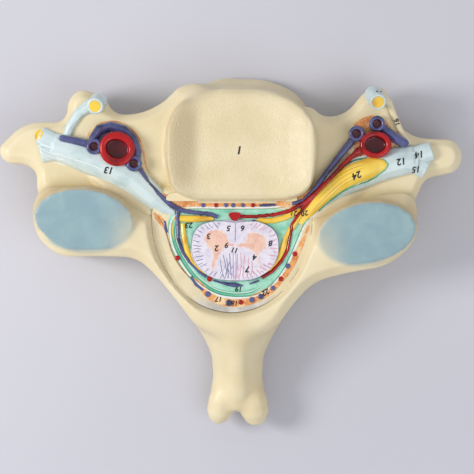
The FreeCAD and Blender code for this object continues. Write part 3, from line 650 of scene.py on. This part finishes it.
artery_paint = painted("artery_paint", *RED, 0.2, 0.1, lumen=True)
vein_paint = painted("vein_paint", *INDIGO, 0.22, 0.5, lumen=True)
nerve_paint = painted("nerve_paint", NERVE, NERVE_DEEP, 0.24, 0.5)
yellow_paint = painted("yellow_paint", YELLOW, YELLOW_DEEP, 0.28, 0.4)
ganglion_paint = painted("ganglion_paint", YELLOW_PALE, YELLOW, 0.3, 0.2)
sleeve_paint = painted("sleeve_paint", GREEN, GREEN_DEEP, 0.28, 0.4)
cord_paint = layered("cord_paint", CORD, CORD_DEEP, 140, 0.4)
grey_matter = grey_matter_paint()
bed = bed_paint()
fat = fat_paint("fat_paint")
white_ink = ink_paint("white_ink", WHITE, WHITE_DEEP)

ARTERIES = ("left_vertebral_artery", "right_vertebral_artery")
VEINS = ("left_vertebral_vein", "right_inner_vein", "right_outer_vein")
ROOTS = ("left_ventral_root", "left_dorsal_root", "right_ventral_root", "right_dorsal_root")
NERVES = (
    "left_spinal_nerve", "right_spinal_nerve", "left_anterior_branch", "right_anterior_branch",
)
SKINS = (
    (ARTERIES, artery_paint, "artery"),
    (VEINS, vein_paint, "vein"),
    (("anterior_spinal_artery", "posterior_spinal_artery"), artery_paint, "artery"),
    (("spinal_veins",), vein_paint, "vein"),
    (("epidural_arteries",), artery_paint, "artery"),
    (("epidural_veins",), vein_paint, "vein"),
    (ROOTS, yellow_paint, "yellow"),
    (NERVES[:3], nerve_paint, "nerve"),
    (NERVES[3:], stump_paint(), "nerve"),
)

# Bores: middle in the plan, half-width, half-depth and height of the mouth
BORES = {
    "left_vertebral_artery": ((-101.4, 56.5, 9.8, 9.8, 72),),
    "right_vertebral_artery": ((119, 60, 8.8, 7.2, 72),),
    "left_vertebral_vein": ((-121, 58.5, 3.8, 3.8, 70), (-87, 44, 3.8, 3.8, 70)),
    "right_inner_vein": ((103, 69.5, 3.8, 3.8, 70),),
    "right_outer_vein": ((120.5, 78, 3.8, 3.8, 70),),
}

# Voxel and swell of the skins on large and on fine pieces, and what swells otherwise
LARGE = (*ARTERIES, *VEINS, *NERVES)
LARGE_SKIN = (0.6, 0.35)
FINE_SKIN = (0.32, 0.12)
SWELLS = {"anterior_spinal_artery": -0.18, "posterior_spinal_artery": -0.18, "spinal_veins": -0.98}
# Rounds of smoothing on most skins, and on those that are rounded further
ROUNDS = 10
MORE_ROUNDS = 30
SOFTENED = (*NERVES, "left_vertebral_vein", "right_outer_vein")

top_pieces = []
layer_pieces = []
for nodes, material, slot_name in SKINS:
    for node in nodes:
        voxel, swell = LARGE_SKIN if node in LARGE else FINE_SKIN
        swell = SWELLS.get(node, swell)
        rounds = MORE_ROUNDS if node in SOFTENED else ROUNDS
        piece = skin(node, material, voxel, rounds, swell, BORES.get(node, ()))
        top_pieces.append(piece)
        if node in NERVES:
            layer_pieces.append(piece)

# CAD nodes that are shown as they are
KEPT = {
    "canal_bed": bed,
    "posterior_epidural_fat": bed,
    "anterior_epidural_fat": fat,
    "left_foraminal_fat": bone,
    "right_foraminal_fat": fat_paint("right_fat_paint", 101),
    "dura_sheath": dura_paint(),
    "arachnoid_bed": layered("arachnoid_paint", *MINT, 110),
    "spinal_cord": cord_paint,
    "grey_matter": grey_matter,
    "nerve_cut_faces": painted("cut_face_paint", YELLOW, YELLOW_DEEP, 0.35, 0.2),
}
for node, material in KEPT.items():
    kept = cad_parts[node]
    for slot in kept.material_slots:
        slot.material = material
    layer_pieces.append(kept)


# Painted lines, patches and figures, laid on whatever is under them

def surface_of(pieces):
    """Tree of the pieces' faces, to find the height at a place of the plan."""
    corners = []
    faces = []
    for piece in pieces:
        start = len(corners)
        corners += [piece.matrix_world @ v.co for v in piece.data.vertices]
        faces += [tuple(start + i for i in face.vertices) for face in piece.data.polygons]
    return BVHTree.FromPolygons(corners, faces)


# Ground that paint is laid on besides the bone: the layers and nerves, the same with the
# ganglion's solids for its skins and, once they are made, all pieces
bpy.context.view_layer.update()
BONE_GROUND = surface_of([bone_piece])
SWELLINGS = [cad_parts["right_ganglion"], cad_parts["right_ganglion_sleeve"]]
ground = {"layers": surface_of(layer_pieces), "under": surface_of(layer_pieces + SWELLINGS)}
ABOVE_ALL = 200


def height_at(x, y, kind="layers"):
    """Height in metres of the object's top at a point of the frame."""
    start = Vector((x, y, ABOVE_ALL * MM))
    hits = [tree.ray_cast(start, -UP)[0] for tree in (BONE_GROUND, ground[kind])]
    return max((hit.z for hit in hits if hit), default=0.0)


def kept_on(line, i, closed):
    """Point i of a line, which goes on round where it is closed and else stays at its ends."""
    return line[i % len(line) if closed else min(max(i, 0), len(line) - 1)]


def smooth_route(places, closed=False, step=0.8):
    """A smooth line's points, about a step apart; a place is (x, y) or (x, y, half-width)."""
    spots = [Vector((*place, 0)[:3]) for place in places]
    line = []
    for i in range(len(spots) if closed else len(spots) - 1):
        before, start, end, after = (kept_on(spots, j, closed) for j in range(i - 1, i + 3))
        pieces = max(2, int((end - start).length / step))
        for piece in range(pieces):
            t = piece / pieces
            line.append(0.5 * (
                2 * start + (end - before) * t
                + (2 * before - 5 * start + 4 * end - after) * t ** 2
                + (3 * start - before - 3 * end + after) * t ** 3
            ))
    if not closed:
        line.append(spots[-1])
    return line


def side_of(route, i, closed):
    """Unit vector to the right of a route at its point i."""
    along = kept_on(route, i + 1, closed) - kept_on(route, i - 1, closed)
    return Vector((along.y, -along.x)).normalized()


def strip_faces(build, rails, closed):
    pairs = list(zip(rails, rails[1:]))
    if closed:
        pairs.append((rails[-1], rails[0]))
    for first, second in pairs:
        for i in range(len(first) - 1):
            build.faces.new((first[i], first[i + 1], second[i + 1], second[i]))


# Lines stop where they would run down over the object's edge
LINE_FLOOR = 45
# A line's section from side to side, as shares of its half-width and of its height
LINE_SECTION = ((-1, -0.25), (-0.5, 0.85), (0.5, 0.85), (1, -0.25))
# Share of its width that a line has at a tip, and share of its points by which it fills out
TIP_WIDTH = 0.15
TIP_RUN = 0.12


def add_line(build, places, width, shift, proud, kind):
    """A raised brush line, closed where its last place is its first; shift is to the right."""
    closed = places[0] == places[-1]
    route = smooth_route(places[:-1] if closed else places, closed)
    count = len(route)
    rails = []
    for i, spot in enumerate(route):
        side = side_of(route, i, closed)
        share = 1.0
        if not closed:
            share = min(1.0, TIP_WIDTH + min(i, count - 1 - i) / max(2.0, TIP_RUN * count))
        row = []
        for across, rise in LINE_SECTION:
            place = at(*(spot.xy + side * (across * width / 2 * share + shift)))
            place.z = height_at(place.x, place.y, kind) + rise * proud * MM
            row.append(place)
        if min(place.z for place in row) > LINE_FLOOR * MM:
            rails.append([build.verts.new(place) for place in row])
    strip_faces(build, rails, closed)


def mesh_of(build, name):
    mesh = bpy.data.meshes.new(name)
    build.to_mesh(mesh)
    build.free()
    return mesh


def finished(build, name, material):
    """The built mesh as a smooth piece of the object."""
    bmesh.ops.recalc_face_normals(build, faces=build.faces)
    mesh = mesh_of(build, name)
    mesh.shade_smooth()
    return show(name, mesh, material)


def lines(name, material, strokes, proud=0.14, kind="layers"):
    """One piece of painted lines; each stroke is (places, width) or (places, width, shift)."""
    build = bmesh.new()
    for places, width, *shift in strokes:
        add_line(build, places, width, shift[0] if shift else 0.0, proud, kind)
    return finished(build, name, material)


# How far a dome, a patch or a figure hangs below its middle where it meets an edge
MAX_DROP = 5

# A dome's steps from side to side, how often its ground is smoothed and how deep it is sunk
DOME_STEPS = 10
DOME_ROUNDS = 12
DOME_SUNK = 0.25


def dome(name, material, places, rise):
    """A smooth swelling of changing half-width, laid along a route over what is under it."""
    route = smooth_route(places)
    angles = [math.pi * step / DOME_STEPS for step in range(DOME_STEPS + 1)]
    rows = []
    for i, spot in enumerate(route):
        side = side_of(route, i, False)
        rows.append([at(*(spot.xy + side * spot.z * math.cos(angle))) for angle in angles])
    heights = np.array([[height_at(place.x, place.y, "under") for place in row] for row in rows])
    heights = np.maximum(heights, np.median(heights) - MAX_DROP * MM)
    for _ in range(DOME_ROUNDS):
        heights[1:-1] = (heights[:-2] + heights[1:-1] * 2 + heights[2:]) / 4
    build = bmesh.new()
    widest = max(spot.z for spot in route)
    rails = []
    for i, row in enumerate(rows):
        lift = rise * (route[i].z / widest) ** 0.6
        for step, place in enumerate(row):
            arch = math.sin(angles[step]) ** 0.8
            place.z = heights[i, step] + (lift * arch - DOME_SUNK) * MM
        rails.append([build.verts.new(place) for place in row])
    strip_faces(build, rails, False)
    return finished(build, name, material)


# Kind of triangulation that keeps the inside of the outline, and how close points are joined
INSIDE_ONLY = 1
JOIN = 0.001


def patch(name, material, places, proud=0.1, grid=0.9, floor=0.0, drop=MAX_DROP):
    """A painted field inside a smooth closed line, draped on the object above a floor."""
    rim = [spot.xy for spot in smooth_route(places, closed=True, step=grid)]
    border = np.array(rim)
    low = border.min(axis=0)
    columns, rows = ((border.max(axis=0) - low) / grid).astype(int)
    cells = [(column, row) for row in range(1, rows) for column in range(1, columns)]
    spots = rim + [Vector(low + np.array(cell) * grid) for cell in cells]
    edges = [(i, (i + 1) % len(rim)) for i in range(len(rim))]
    outline = [list(range(len(rim)))]
    spots, _, faces, *_ = geometry.delaunay_2d_cdt(spots, edges, outline, INSIDE_ONLY, JOIN)
    mesh = bpy.data.meshes.new(name)
    corners = []
    for spot in spots:
        place = at(spot.x, spot.y)
        place.z = max(height_at(place.x, place.y), floor * MM) + proud * MM
        corners.append(place)
    level = float(np.median([place.z for place in corners]))
    for place in corners:
        place.z = max(place.z, level - drop * MM)
    mesh.from_pydata(corners, [], faces)
    mesh.shade_smooth()
    inset = [np.hypot(*(border - np.array(spot)).T).min() for spot in spots]
    mark(mesh, "inset", np.array(inset))
    return show(name, mesh, material)


OVAL_POINTS = 12


def outline_of(x, y, half_length, half_width, turn):
    """Outline of an oval field at a place of the plan."""
    angles = [math.tau * i / OVAL_POINTS for i in range(OVAL_POINTS)]
    return [
        turned(x, y, half_length * math.cos(angle), half_width * math.sin(angle), turn)
        for angle in angles
    ]


# A figure's height as a share of its type size, its slant, its added weight and its relief
FIGURE_SHARE = 0.7
FIGURE_SLANT = 0.18
FIGURE_WEIGHT = 0.028
FIGURE_PROUD = 0.22
# Edges longer than this are split, so that a figure follows what is under it
FIGURE_EDGE = 1.2


def flat_figure(text, tall):
    """A figure's faces, lying about the origin in millimetres."""
    curve = bpy.data.curves.new("figure", "FONT")
    curve.body = text
    curve.align_x = "CENTER"
    curve.align_y = "CENTER"
    curve.size = tall / FIGURE_SHARE
    curve.shear = FIGURE_SLANT
    curve.offset = FIGURE_WEIGHT * curve.size
    curve.resolution_u = 3
    piece = bmesh.new()
    piece.from_mesh(made_of(placed("figure", curve)))
    bmesh.ops.triangulate(piece, faces=piece.faces)
    for _ in range(3):
        long = [edge for edge in piece.edges if edge.calc_length() > FIGURE_EDGE]
        bmesh.ops.subdivide_edges(piece, edges=long, cuts=1)
        bmesh.ops.triangulate(piece, faces=piece.faces)
    return piece


def figures(name, material, places):
    """Index figures in ink, turned to be read from the front of the neck."""
    build = bmesh.new()
    for text, x, y, tall, turn in places:
        piece = flat_figure(text, tall)
        for corner in piece.verts:
            place = at(*turned(x, y, corner.co.x, corner.co.y, 180 + turn))
            place.z = height_at(place.x, place.y, "top") + FIGURE_PROUD * MM
            corner.co = place
        level = float(np.median([corner.co.z for corner in piece.verts]))
        for corner in piece.verts:
            corner.co.z = max(corner.co.z, level - MAX_DROP * MM)
        build.from_mesh(mesh_of(piece, "figure"))
    return show(name, mesh_of(build, name), material)


# Places of the painted fields and lines

rng = random.Random(7)

CORD_RIM = (
    (-0.4, -6), (-8.5, -5.1), (-20.4, -5.1), (-30.7, -8.5), (-36.6, -16.2), (-37.9, -25.6),
    (-36.6, -35.8), (-31.5, -45.2), (-23.9, -52), (-14.5, -55.4), (-0.9, -56.2), (11.9, -55.8),
    (22.2, -52), (30.7, -45.2), (35.8, -34.9), (36.6, -24.7), (34.9, -16.2), (29, -9.4), (18.7, -5.1),
    (8.5, -5.1), (-0.4, -6),
)
CORD_MIDDLE = (-0.8, -30)
# The skin on the cord's cut face, as shares of the cord's width and depth, and its level
CORD_FACE_WIDTH = 0.985
CORD_FACE_DEPTH = 0.97
CORD_FACE_LEVEL = 70.2

# Wings of the butterfly, as they are painted on the cord's cut face
LEFT_WING = (
    (-22.2, -12.8), (-14.5, -11.6), (-9.4, -14.5), (-6.8, -19.1), (-5.1, -22.7), (-1.5, -24.2),
    (-2.6, -27), (-7.7, -27.6), (-11.1, -29.8), (-13.6, -34.1), (-15.3, -39.2), (-17.4, -44.3),
    (-19.6, -47.7), (-21.7, -46.9), (-21.3, -41.7), (-20.4, -35.8), (-21.3, -30.7), (-24.7, -26.4),
    (-27.3, -21.3), (-26.4, -16.2),
)
RIGHT_WING = (
    (8.5, -16.2), (13.6, -14), (20.4, -15.3), (25.6, -19.1), (26.9, -23.9), (25.6, -29), (22.2, -31.5),
    (19.6, -33.2), (20.4, -39.2), (22.5, -45.2), (23, -47.7), (21.3, -47.4), (18.7, -42.6),
    (16.7, -36.6), (14.5, -32.4), (10.2, -29.3), (4.3, -28.1), (-0.5, -26.8), (0.4, -24), (6.8, -23),
    (8.2, -19.6),
)


def paint_cord_face():
    """Thin skin over the cord's cut face, closing the joint round the grey matter."""
    middle_x, middle_y = CORD_MIDDLE
    rim = [
        (middle_x + (x - middle_x) * CORD_FACE_WIDTH, middle_y + (y - middle_y) * CORD_FACE_DEPTH)
        for x, y in CORD_RIM[:-1]
    ]
    layer_pieces.append(patch("cord_face", cord_paint, rim, floor=CORD_FACE_LEVEL))


# Step from stroke to stroke along the cord's rim, and the field of its fissure, left clear
STROKE_STEP = 3.4
CLEAR_BACK = -11
CLEAR_HALF_WIDTH = 14


def radial_strokes():
    """Fine strokes inwards from the cord's rim, for its outer tracts, some of them forked."""
    left = []
    right = []
    for place in smooth_route(CORD_RIM[:-1], closed=True, step=STROKE_STEP):
        start = place.xy
        inward = (Vector(CORD_MIDDLE) - start).normalized()
        if start.y > CLEAR_BACK and abs(start.x) < CLEAR_HALF_WIDTH:
            continue
        sideways = Vector((-inward.y, inward.x))
        start = start + inward * rng.uniform(0.4, 1.4) + sideways * rng.uniform(-0.7, 0.7)
        length = rng.uniform(4, 8.5)
        middle = start + inward * length * 0.5 + sideways * rng.uniform(-0.7, 0.7)
        end = start + inward * length
        side = left if start.x < CORD_MIDDLE[0] else right
        side.append(((start[:], middle[:], end[:]), rng.uniform(0.55, 0.9)))
        if rng.random() < 0.4:
            fork = middle + inward * length * 0.4 + sideways * rng.choice((-1.6, 1.6))
            side.append(((middle[:], (middle + (fork - middle) * 0.6)[:], fork[:]), 0.4))
    return left, right


# Top, middle and foot of each long stroke in the columns behind the grey matter
LEFT_COLUMNS = (
    ((-13.5, -38), (-12.2, -46), (-10.4, -53.5)), ((-11, -33.5), (-9, -42), (-7.8, -50)),
    ((-8, -36), (-7.2, -44), (-8.8, -50.5)), ((-5.4, -32), (-5, -41), (-4.2, -52)),
    ((-5, -39), (-7, -45), (-6.2, -54)), ((-2.4, -31), (-2.4, -42), (-1.9, -54.5)),
)
RIGHT_COLUMNS = (
    ((1.4, -33), (1, -43), (0.8, -54)), ((4, -32), (4.4, -42), (3, -53)),
    ((7.6, -34), (6.6, -43), (6, -52.5)), ((11, -36), (10.4, -44), (9.2, -53)),
    ((13.5, -39), (13.8, -46), (12.4, -52)),
)


def paint_cord():
    """Wings of the grey matter, tracts and outlines."""
    lavender = ink_paint("lavender_ink", *LAVENDER)
    rose = ink_paint("rose_ink", *ROSE)
    patch("left_wing", grey_matter, LEFT_WING)
    patch("right_wing", grey_matter, RIGHT_WING)
    left, right = radial_strokes()
    for side, columns in ((left, LEFT_COLUMNS), (right, RIGHT_COLUMNS)):
        for top, middle, foot in columns:
            side.append(((top, middle, foot), rng.uniform(0.6, 0.95)))
            lean = rng.choice((-1.9, 1.9))
            fork = (middle[0] + lean, middle[1] - rng.uniform(4, 6))
            halfway = (middle[0] + lean * 0.35, middle[1] - 2.4)
            side.append(((middle, halfway, fork), 0.55))
    lines("cord_outline", lavender, [(CORD_RIM, 0.6)])
    fissure = ((-0.6, -6.5), (-0.5, -12.8), (-0.7, -22))
    septum = ((-0.3, -30.5), (0.1, -40), (-0.2, -55))
    lines("cord_fissure", lavender, [(fissure, 0.9), (septum, 0.6)])
    lines("cord_left_tracts", lavender, left)
    lines("cord_right_tracts", rose, right)


def paint_sheaths():
    """Lines along the dura, and bone over the joints of the bed's sides."""
    green = ink_paint("green_line", GREEN_DEEP, GREEN_DARK)
    dura_outside = (
        (-45.2, 6), (-51.1, 0.9), (-55.4, -6), (-56.2, -14.5), (-54.5, -24.7), (-50.3, -34.9),
        (-43.5, -46), (-34.9, -56.2), (-24.7, -63.9), (-13.6, -69), (0, -70.7), (13.6, -69.9),
        (23.9, -65.6), (33.2, -57.9), (41.7, -46.9), (47.7, -34.9), (52.8, -23), (57.9, -11.1),
        (64.8, 0), (73.3, 7.7),
    )
    dura_inside = (
        (-51.1, -9.4), (-51.1, -19.6), (-47.7, -29.8), (-41.7, -40), (-34.1, -50.3), (-25.6, -57.9),
        (-15.3, -63.9), (0, -66.5), (13, -65), (22, -60.5),
    )
    front = ((-44, 6.4), (-30, 6.6), (-10, 6.4), (12, 6.4), (30, 6.8), (42, 8))
    left_joint = (
        (-70.6, 1), (-68.9, -8.5), (-64.6, -25.6), (-57.8, -46), (-47.6, -63), (-38, -71.4),
    )
    right_joint = (
        (37.6, -68.4), (51.4, -52.8), (61.6, -30.7), (65, -13.6), (65.8, -1.7),
    )
    lines("bed_joints", bone, [(left_joint, 3.2), (right_joint, 3.2)], 0.4)
    lines("dura_white_lines", white_ink, [
        (dura_outside, 1.8), (dura_inside, 0.7), (front, 1.5),
    ])
    lines("dura_green_lines", green, [
        (dura_outside, 0.8, -1.4), (dura_inside, 0.6, 0.9), (front, 0.6, 1.3),
    ])


# Lowest levels of the painted fat in front of the canal and beside it, and of the bone's joint
FRONT_FAT_LEVEL = 66.1
SIDE_FAT_LEVEL = 62
JOINT_LEVEL = 66.2


def paint_fat():
    """Fields and lines of fat round the canal, and the bone's edge in front of them."""
    band = (
        (-36.6, -54.5), (-30.7, -63.9), (-23.9, -71.6), (-13.6, -76.7), (0, -78.7), (11.9, -76.7),
        (22.2, -72.4), (32.4, -65.6), (40.9, -56.2), (48.6, -46), (53.7, -35.8), (57.9, -25.6),
        (60.5, -17), (63, -9.4), (61.3, -9.4), (57.9, -17), (53.7, -24.7), (49.4, -33.2), (46, -40.9),
        (40.9, -47.7), (34.1, -56.2), (27.3, -61.3), (18.7, -65.6), (8.5, -70.4), (-1.7, -72),
        (-11.9, -70.4), (-20.4, -66), (-27.3, -59.6), (-33.2, -54.5),
    )
    patch("posterior_fat_band", fat, band)
    left_front = (
        (-64, 19), (-54.5, 15.4), (-46.9, 13.4), (-39.2, 12.6), (-33.2, 11.6), (-33.2, 7.6),
        (-40.9, 7.4), (-48.6, 8), (-56, 11.5), (-62, 16),
    )
    right_front = (
        (36, 8), (46, 8.6), (56, 12.5), (66, 20.5), (63, 21), (54, 15.5), (45, 13.4), (36, 12.6),
    )
    left_side = (
        (-71.2, 1), (-65.6, 0.4), (-61.3, -4.3), (-57.9, -11.1), (-58.8, -15), (-62.4, -11.1),
        (-67.3, -5.1),
    )
    for name, outline, level in (
        ("left_front_fat", left_front, FRONT_FAT_LEVEL),
        ("right_front_fat", right_front, FRONT_FAT_LEVEL),
        ("left_side_fat", left_side, SIDE_FAT_LEVEL),
    ):
        patch(name, fat, outline, floor=level)
    right_strip = ((62, 15), (64.8, 18), (73.3, 28), (81.8, 39), (90.3, 50), (96.6, 58))
    loop_rim = (
        (-127.8, 63), (-126.1, 69.9), (-121, 75.6), (-115.9, 78.6), (-109.1, 80.2), (-103.1, 80.2),
        (-96.3, 78.2), (-89.8, 74.2), (-84.6, 68.4), (-81.2, 62.2), (-79.4, 55.4), (-78.2, 48.6),
        (-76.9, 41.7), (-73.3, 34.9),
    )
    lines("foraminal_fat_lines", fat, [(right_strip, 3.0), (loop_rim, 1.5)])
    # Painted shadow that the canal's left wall casts on the bed, as a brown line
    canal_shadow = ink_paint("canal_shadow_paint", *CANAL_SHADOW)
    streak = (
        (-69.9, 2.6), (-64.8, -3.4), (-60.6, -11.9), (-57.2, -23), (-54.4, -31.5), (-49.8, -40.5),
        (-44.3, -48), (-37.5, -54.8),
    )
    lines("left_canal_shadow_streak", canal_shadow, [(streak, 1.5)])
    thin = ((-52, -0.9), (-53.7, -7.7), (-54.1, -14.5), (-52.8, -21.3))
    lines("left_yellow_streak", yellow_paint, [(thin, 1.2)])
    joint = (
        (-56, 12), (-30, 12), (0, 12), (30, 12), (50, 12), (52, 14), (50, 16), (30, 16.4), (0, 16.4),
        (-30, 16.6), (-43, 18.4), (-51, 19), (-57, 17.6), (-59.5, 14.6),
    )
    patch("front_joint", bone, joint, floor=JOINT_LEVEL)


# Swellings on the right nerve: places in the plan, with the half-width at each
GANGLION = (
    (54, -7, 3.2), (58, -1, 4.2), (64, 4.5, 4.8), (71, 12, 5.4), (79.5, 20.5, 6.6), (90, 29.5, 8.4),
    (100, 35.2, 9.4), (110.8, 39, 9.4), (118, 41.8, 8.4), (123, 42.6, 6.4), (126.8, 42.8, 4),
    (129, 42.9, 1.2),
)


def widened(places, more):
    """The same swelling with a wider outline, a little longer at its tip."""
    wider = [(x, y, half + more) for x, y, half in places]
    x, y, half = wider[-1]
    wider[-1] = (x + more * 0.9, y, half * 0.6)
    return wider


def paint_nerve_ends():
    """Right nerve's seam cover, painted shade in the left vein's loop, left nerve's streaks."""
    seam = ((146, 53), (154, 53.5), (155.5, 47), (154.5, 40.5), (147, 39.5), (145, 46))
    cover = patch("right_nerve_cover", nerve_paint, seam, proud=0.15, drop=0.4)
    layer_pieces.append(cover)
    # Painted shade in the left vein's loop, between the vein and the artery, in the vein's indigo
    loop_shade = ((-120.6, 64.5), (-119.4, 69.5), (-114, 73.4), (-106, 74), (-110.5, 67), (-115, 63))
    patch("left_vein_loop_shade", vein_paint, loop_shade, proud=0.4)
    streak = ink_paint("nerve_streaks", WHITE, NERVE)
    # Brush strokes at the left nerve's end, and last a painted highlight along its trunk
    brush_strokes_and_highlight = (
        ((-171, 64), (-162, 59), (-152, 56)), ((-170.5, 60), (-161, 54), (-149, 51.5)),
        ((-169, 56), (-160, 50), (-147, 47)), ((-166, 50.5), (-157, 46), (-145, 42.5)),
        ((-150, 52), (-138, 47.5), (-124, 43), (-112, 37.5)),
    )
    lines("left_nerve_streaks", streak, [(places, 0.9) for places in brush_strokes_and_highlight], 0.12)


WHITE_RIM_WIDTH = 2.8
SLEEVE_WIDTH = 1.6


def paint_ganglion():
    """Ganglion in its green sleeve, with a white rim and brush strokes."""
    rim_places = widened(GANGLION, WHITE_RIM_WIDTH)
    sleeve_places = widened(GANGLION, SLEEVE_WIDTH)
    rim = dome("ganglion_white_rim", white_ink, rim_places, rise=0.5)
    sleeve = dome("right_ganglion_sleeve_skin", sleeve_paint, sleeve_places, rise=1.0)
    core = dome("right_ganglion_skin", ganglion_paint, GANGLION, rise=2.2)
    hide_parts("right_ganglion_sleeve")
    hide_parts("right_ganglion")
    top_pieces.extend((rim, sleeve, core))
    deep = ink_paint("ganglion_strokes", YELLOW_DEEP, YELLOW_DARK)
    strokes = []
    for shift in (-4.4, -1.6, 1.6, 4.0):
        start = rng.randint(2, 4)
        route = [(x, y) for x, y, _ in GANGLION[start:start + 5]]
        strokes.append((route, rng.uniform(0.35, 0.6), shift))
    ground["top"] = surface_of(layer_pieces + top_pieces)
    lines("ganglion_strokes", deep, strokes, 0.12, "top")


LEFT_CUT_FACE = (-168.7, 69, 4.8, 3.4, 60)
STUMP_MARKS = {"left": (120.3, 105.4, 1.1, 0.7, 0), "right": (123.8, 105.2, 1.1, 0.7, 0)}


def paint_nerves():
    """Painted shade on the left branch's edges, the left nerve's cut face, two dark marks."""
    # Painted shade along both edges of the left branch
    shade = ink_paint("branch_edge", *SHADE)
    left_inside = (
        (-144, 70.7), (-139.7, 76.7), (-134.6, 81.8), (-129.5, 85.2), (-124.4, 86.9), (-117.6, 86.9),
        (-114.2, 88.6),
    )
    left_outside = ((-150, 72.4), (-144.8, 79.2), (-138, 87.8), (-131.2, 92.9), (-126.1, 96.3))
    lines("left_branch_edges", shade, [(left_inside, 0.6), (left_outside, 0.5)])
    patch("left_nerve_cut_face", yellow_paint, outline_of(*LEFT_CUT_FACE))
    # Two small dark marks at the right stump's end
    ink = ink_paint("stump_marks", INK_DEEP, INK)
    for side, oval in STUMP_MARKS.items():
        patch(f"stump_mark_{side}", ink, outline_of(*oval), grid=0.3)


# Each figure's text, place, height and turn
FIGURES = (
    ("1", 3.4, 55.4, 6.6, 0), ("13", -108.2, 38.3, 5.6, -8), ("23", -40, -8.5, 4.6, 0),
    ("5", -6, -11.1, 4.6, 0), ("6", 6, -11.1, 4.6, 0), ("3", -23, -17.9, 4.6, 12),
    ("2", -16.2, -28.1, 4.8, 0), ("9", -7.7, -25.6, 4.4, 0), ("11", -0.9, -29.8, 4.2, -10),
    ("8", 29.8, -23.9, 4.6, 0), ("4", 16.2, -35.8, 4.8, 0), ("7", 10.2, -46, 5.0, 0),
    ("19", 2.6, -63, 4.2, 0), ("17", -14.5, -71.6, 4.2, 0), ("18", -0.9, -75, 4.2, 0),
    ("22", 25.6, -65.6, 4.4, 30), ("24", 103.1, 34.1, 5.6, 22), ("20", 58.8, 1.7, 4.2, 12),
    ("21", 49.4, 1.7, 4.2, 0), ("12", 141.4, 46, 5.6, 12), ("14", 156.8, 52, 5.6, 12),
    ("15", 154.2, 39.2, 5.0, 5), ("16", 138.5, 79.5, 4.4, -60),
)

# Each cover becomes part of the ground for the paint that follows
paint_cord_face()
bpy.context.view_layer.update()
ground["layers"] = surface_of(layer_pieces)
paint_nerve_ends()
ground["layers"] = surface_of(layer_pieces)
paint_ganglion()
paint_cord()
paint_sheaths()
paint_fat()
paint_nerves()
figures("index_figures", ink_paint("figure_ink", INK, INK_DEEP), FIGURES)


# Floor, light and camera

# Half the table's side and the gap under the object, in metres
TABLE_REACH = 3.0
TABLE_GAP = 0.0002
LAMP_AIM = Vector((0, 0, 0.03))
WORLD_COLOUR = (0.95, 0.96, 1.0, 1)
WORLD_STRENGTH = 0.58


def table():
    mesh = bpy.data.meshes.new("table")
    low, high = -TABLE_REACH, TABLE_REACH
    corners = [(low, low, 0), (high, low, 0), (high, high, 0), (low, high, 0)]
    mesh.from_pydata(corners, [], [(0, 1, 2, 3)])
    mesh.materials.append(table_paint())
    top = placed("table", mesh)
    top.location.z = cad_box[0].z - TABLE_GAP


def lamp(name, place, width, power, colour):
    """A round lamp aimed at the object, its place and width in metres."""
    light = bpy.data.lights.new(name, "AREA")
    light.shape = "DISK"
    light.size = width
    light.energy = power
    light.color = colour
    holder = placed(name, light)
    holder.location = place
    holder.rotation_euler = (LAMP_AIM - Vector(place)).to_track_quat("-Z", "Y").to_euler()


def surroundings():
    world = bpy.data.worlds.new("studio")
    world.use_nodes = True
    background = world.node_tree.nodes["Background"]
    background.inputs["Color"].default_value = WORLD_COLOUR
    background.inputs["Strength"].default_value = WORLD_STRENGTH
    bpy.context.scene.world = world


# Width of what the camera sees and its height above the object's top, in metres
VIEW_WIDTH = 0.404
VIEW_DISTANCE = 2.2
VIEW_MIDDLE = at(0.9, -18.7, 70)


def camera():
    """Looks straight down, with the picture's middle and scale as in the photograph."""
    view = bpy.data.cameras.new("camera")
    holder = placed("camera", view)
    view.sensor_width = 36
    view.lens = view.sensor_width * VIEW_DISTANCE / VIEW_WIDTH
    view.clip_end = 20
    holder.location = VIEW_MIDDLE + UP * VIEW_DISTANCE
    bpy.context.scene.camera = holder


table()
lamp("window", (-1.25, 0.12, 1.1), width=0.6, power=15.5, colour=(1.0, 0.98, 0.96))
lamp("fill", (0.9, -0.9, 1.9), width=1.8, power=11, colour=(0.95, 0.97, 1.0))
surroundings()
camera()
bpy.context.scene.view_settings.view_transform = "Standard"
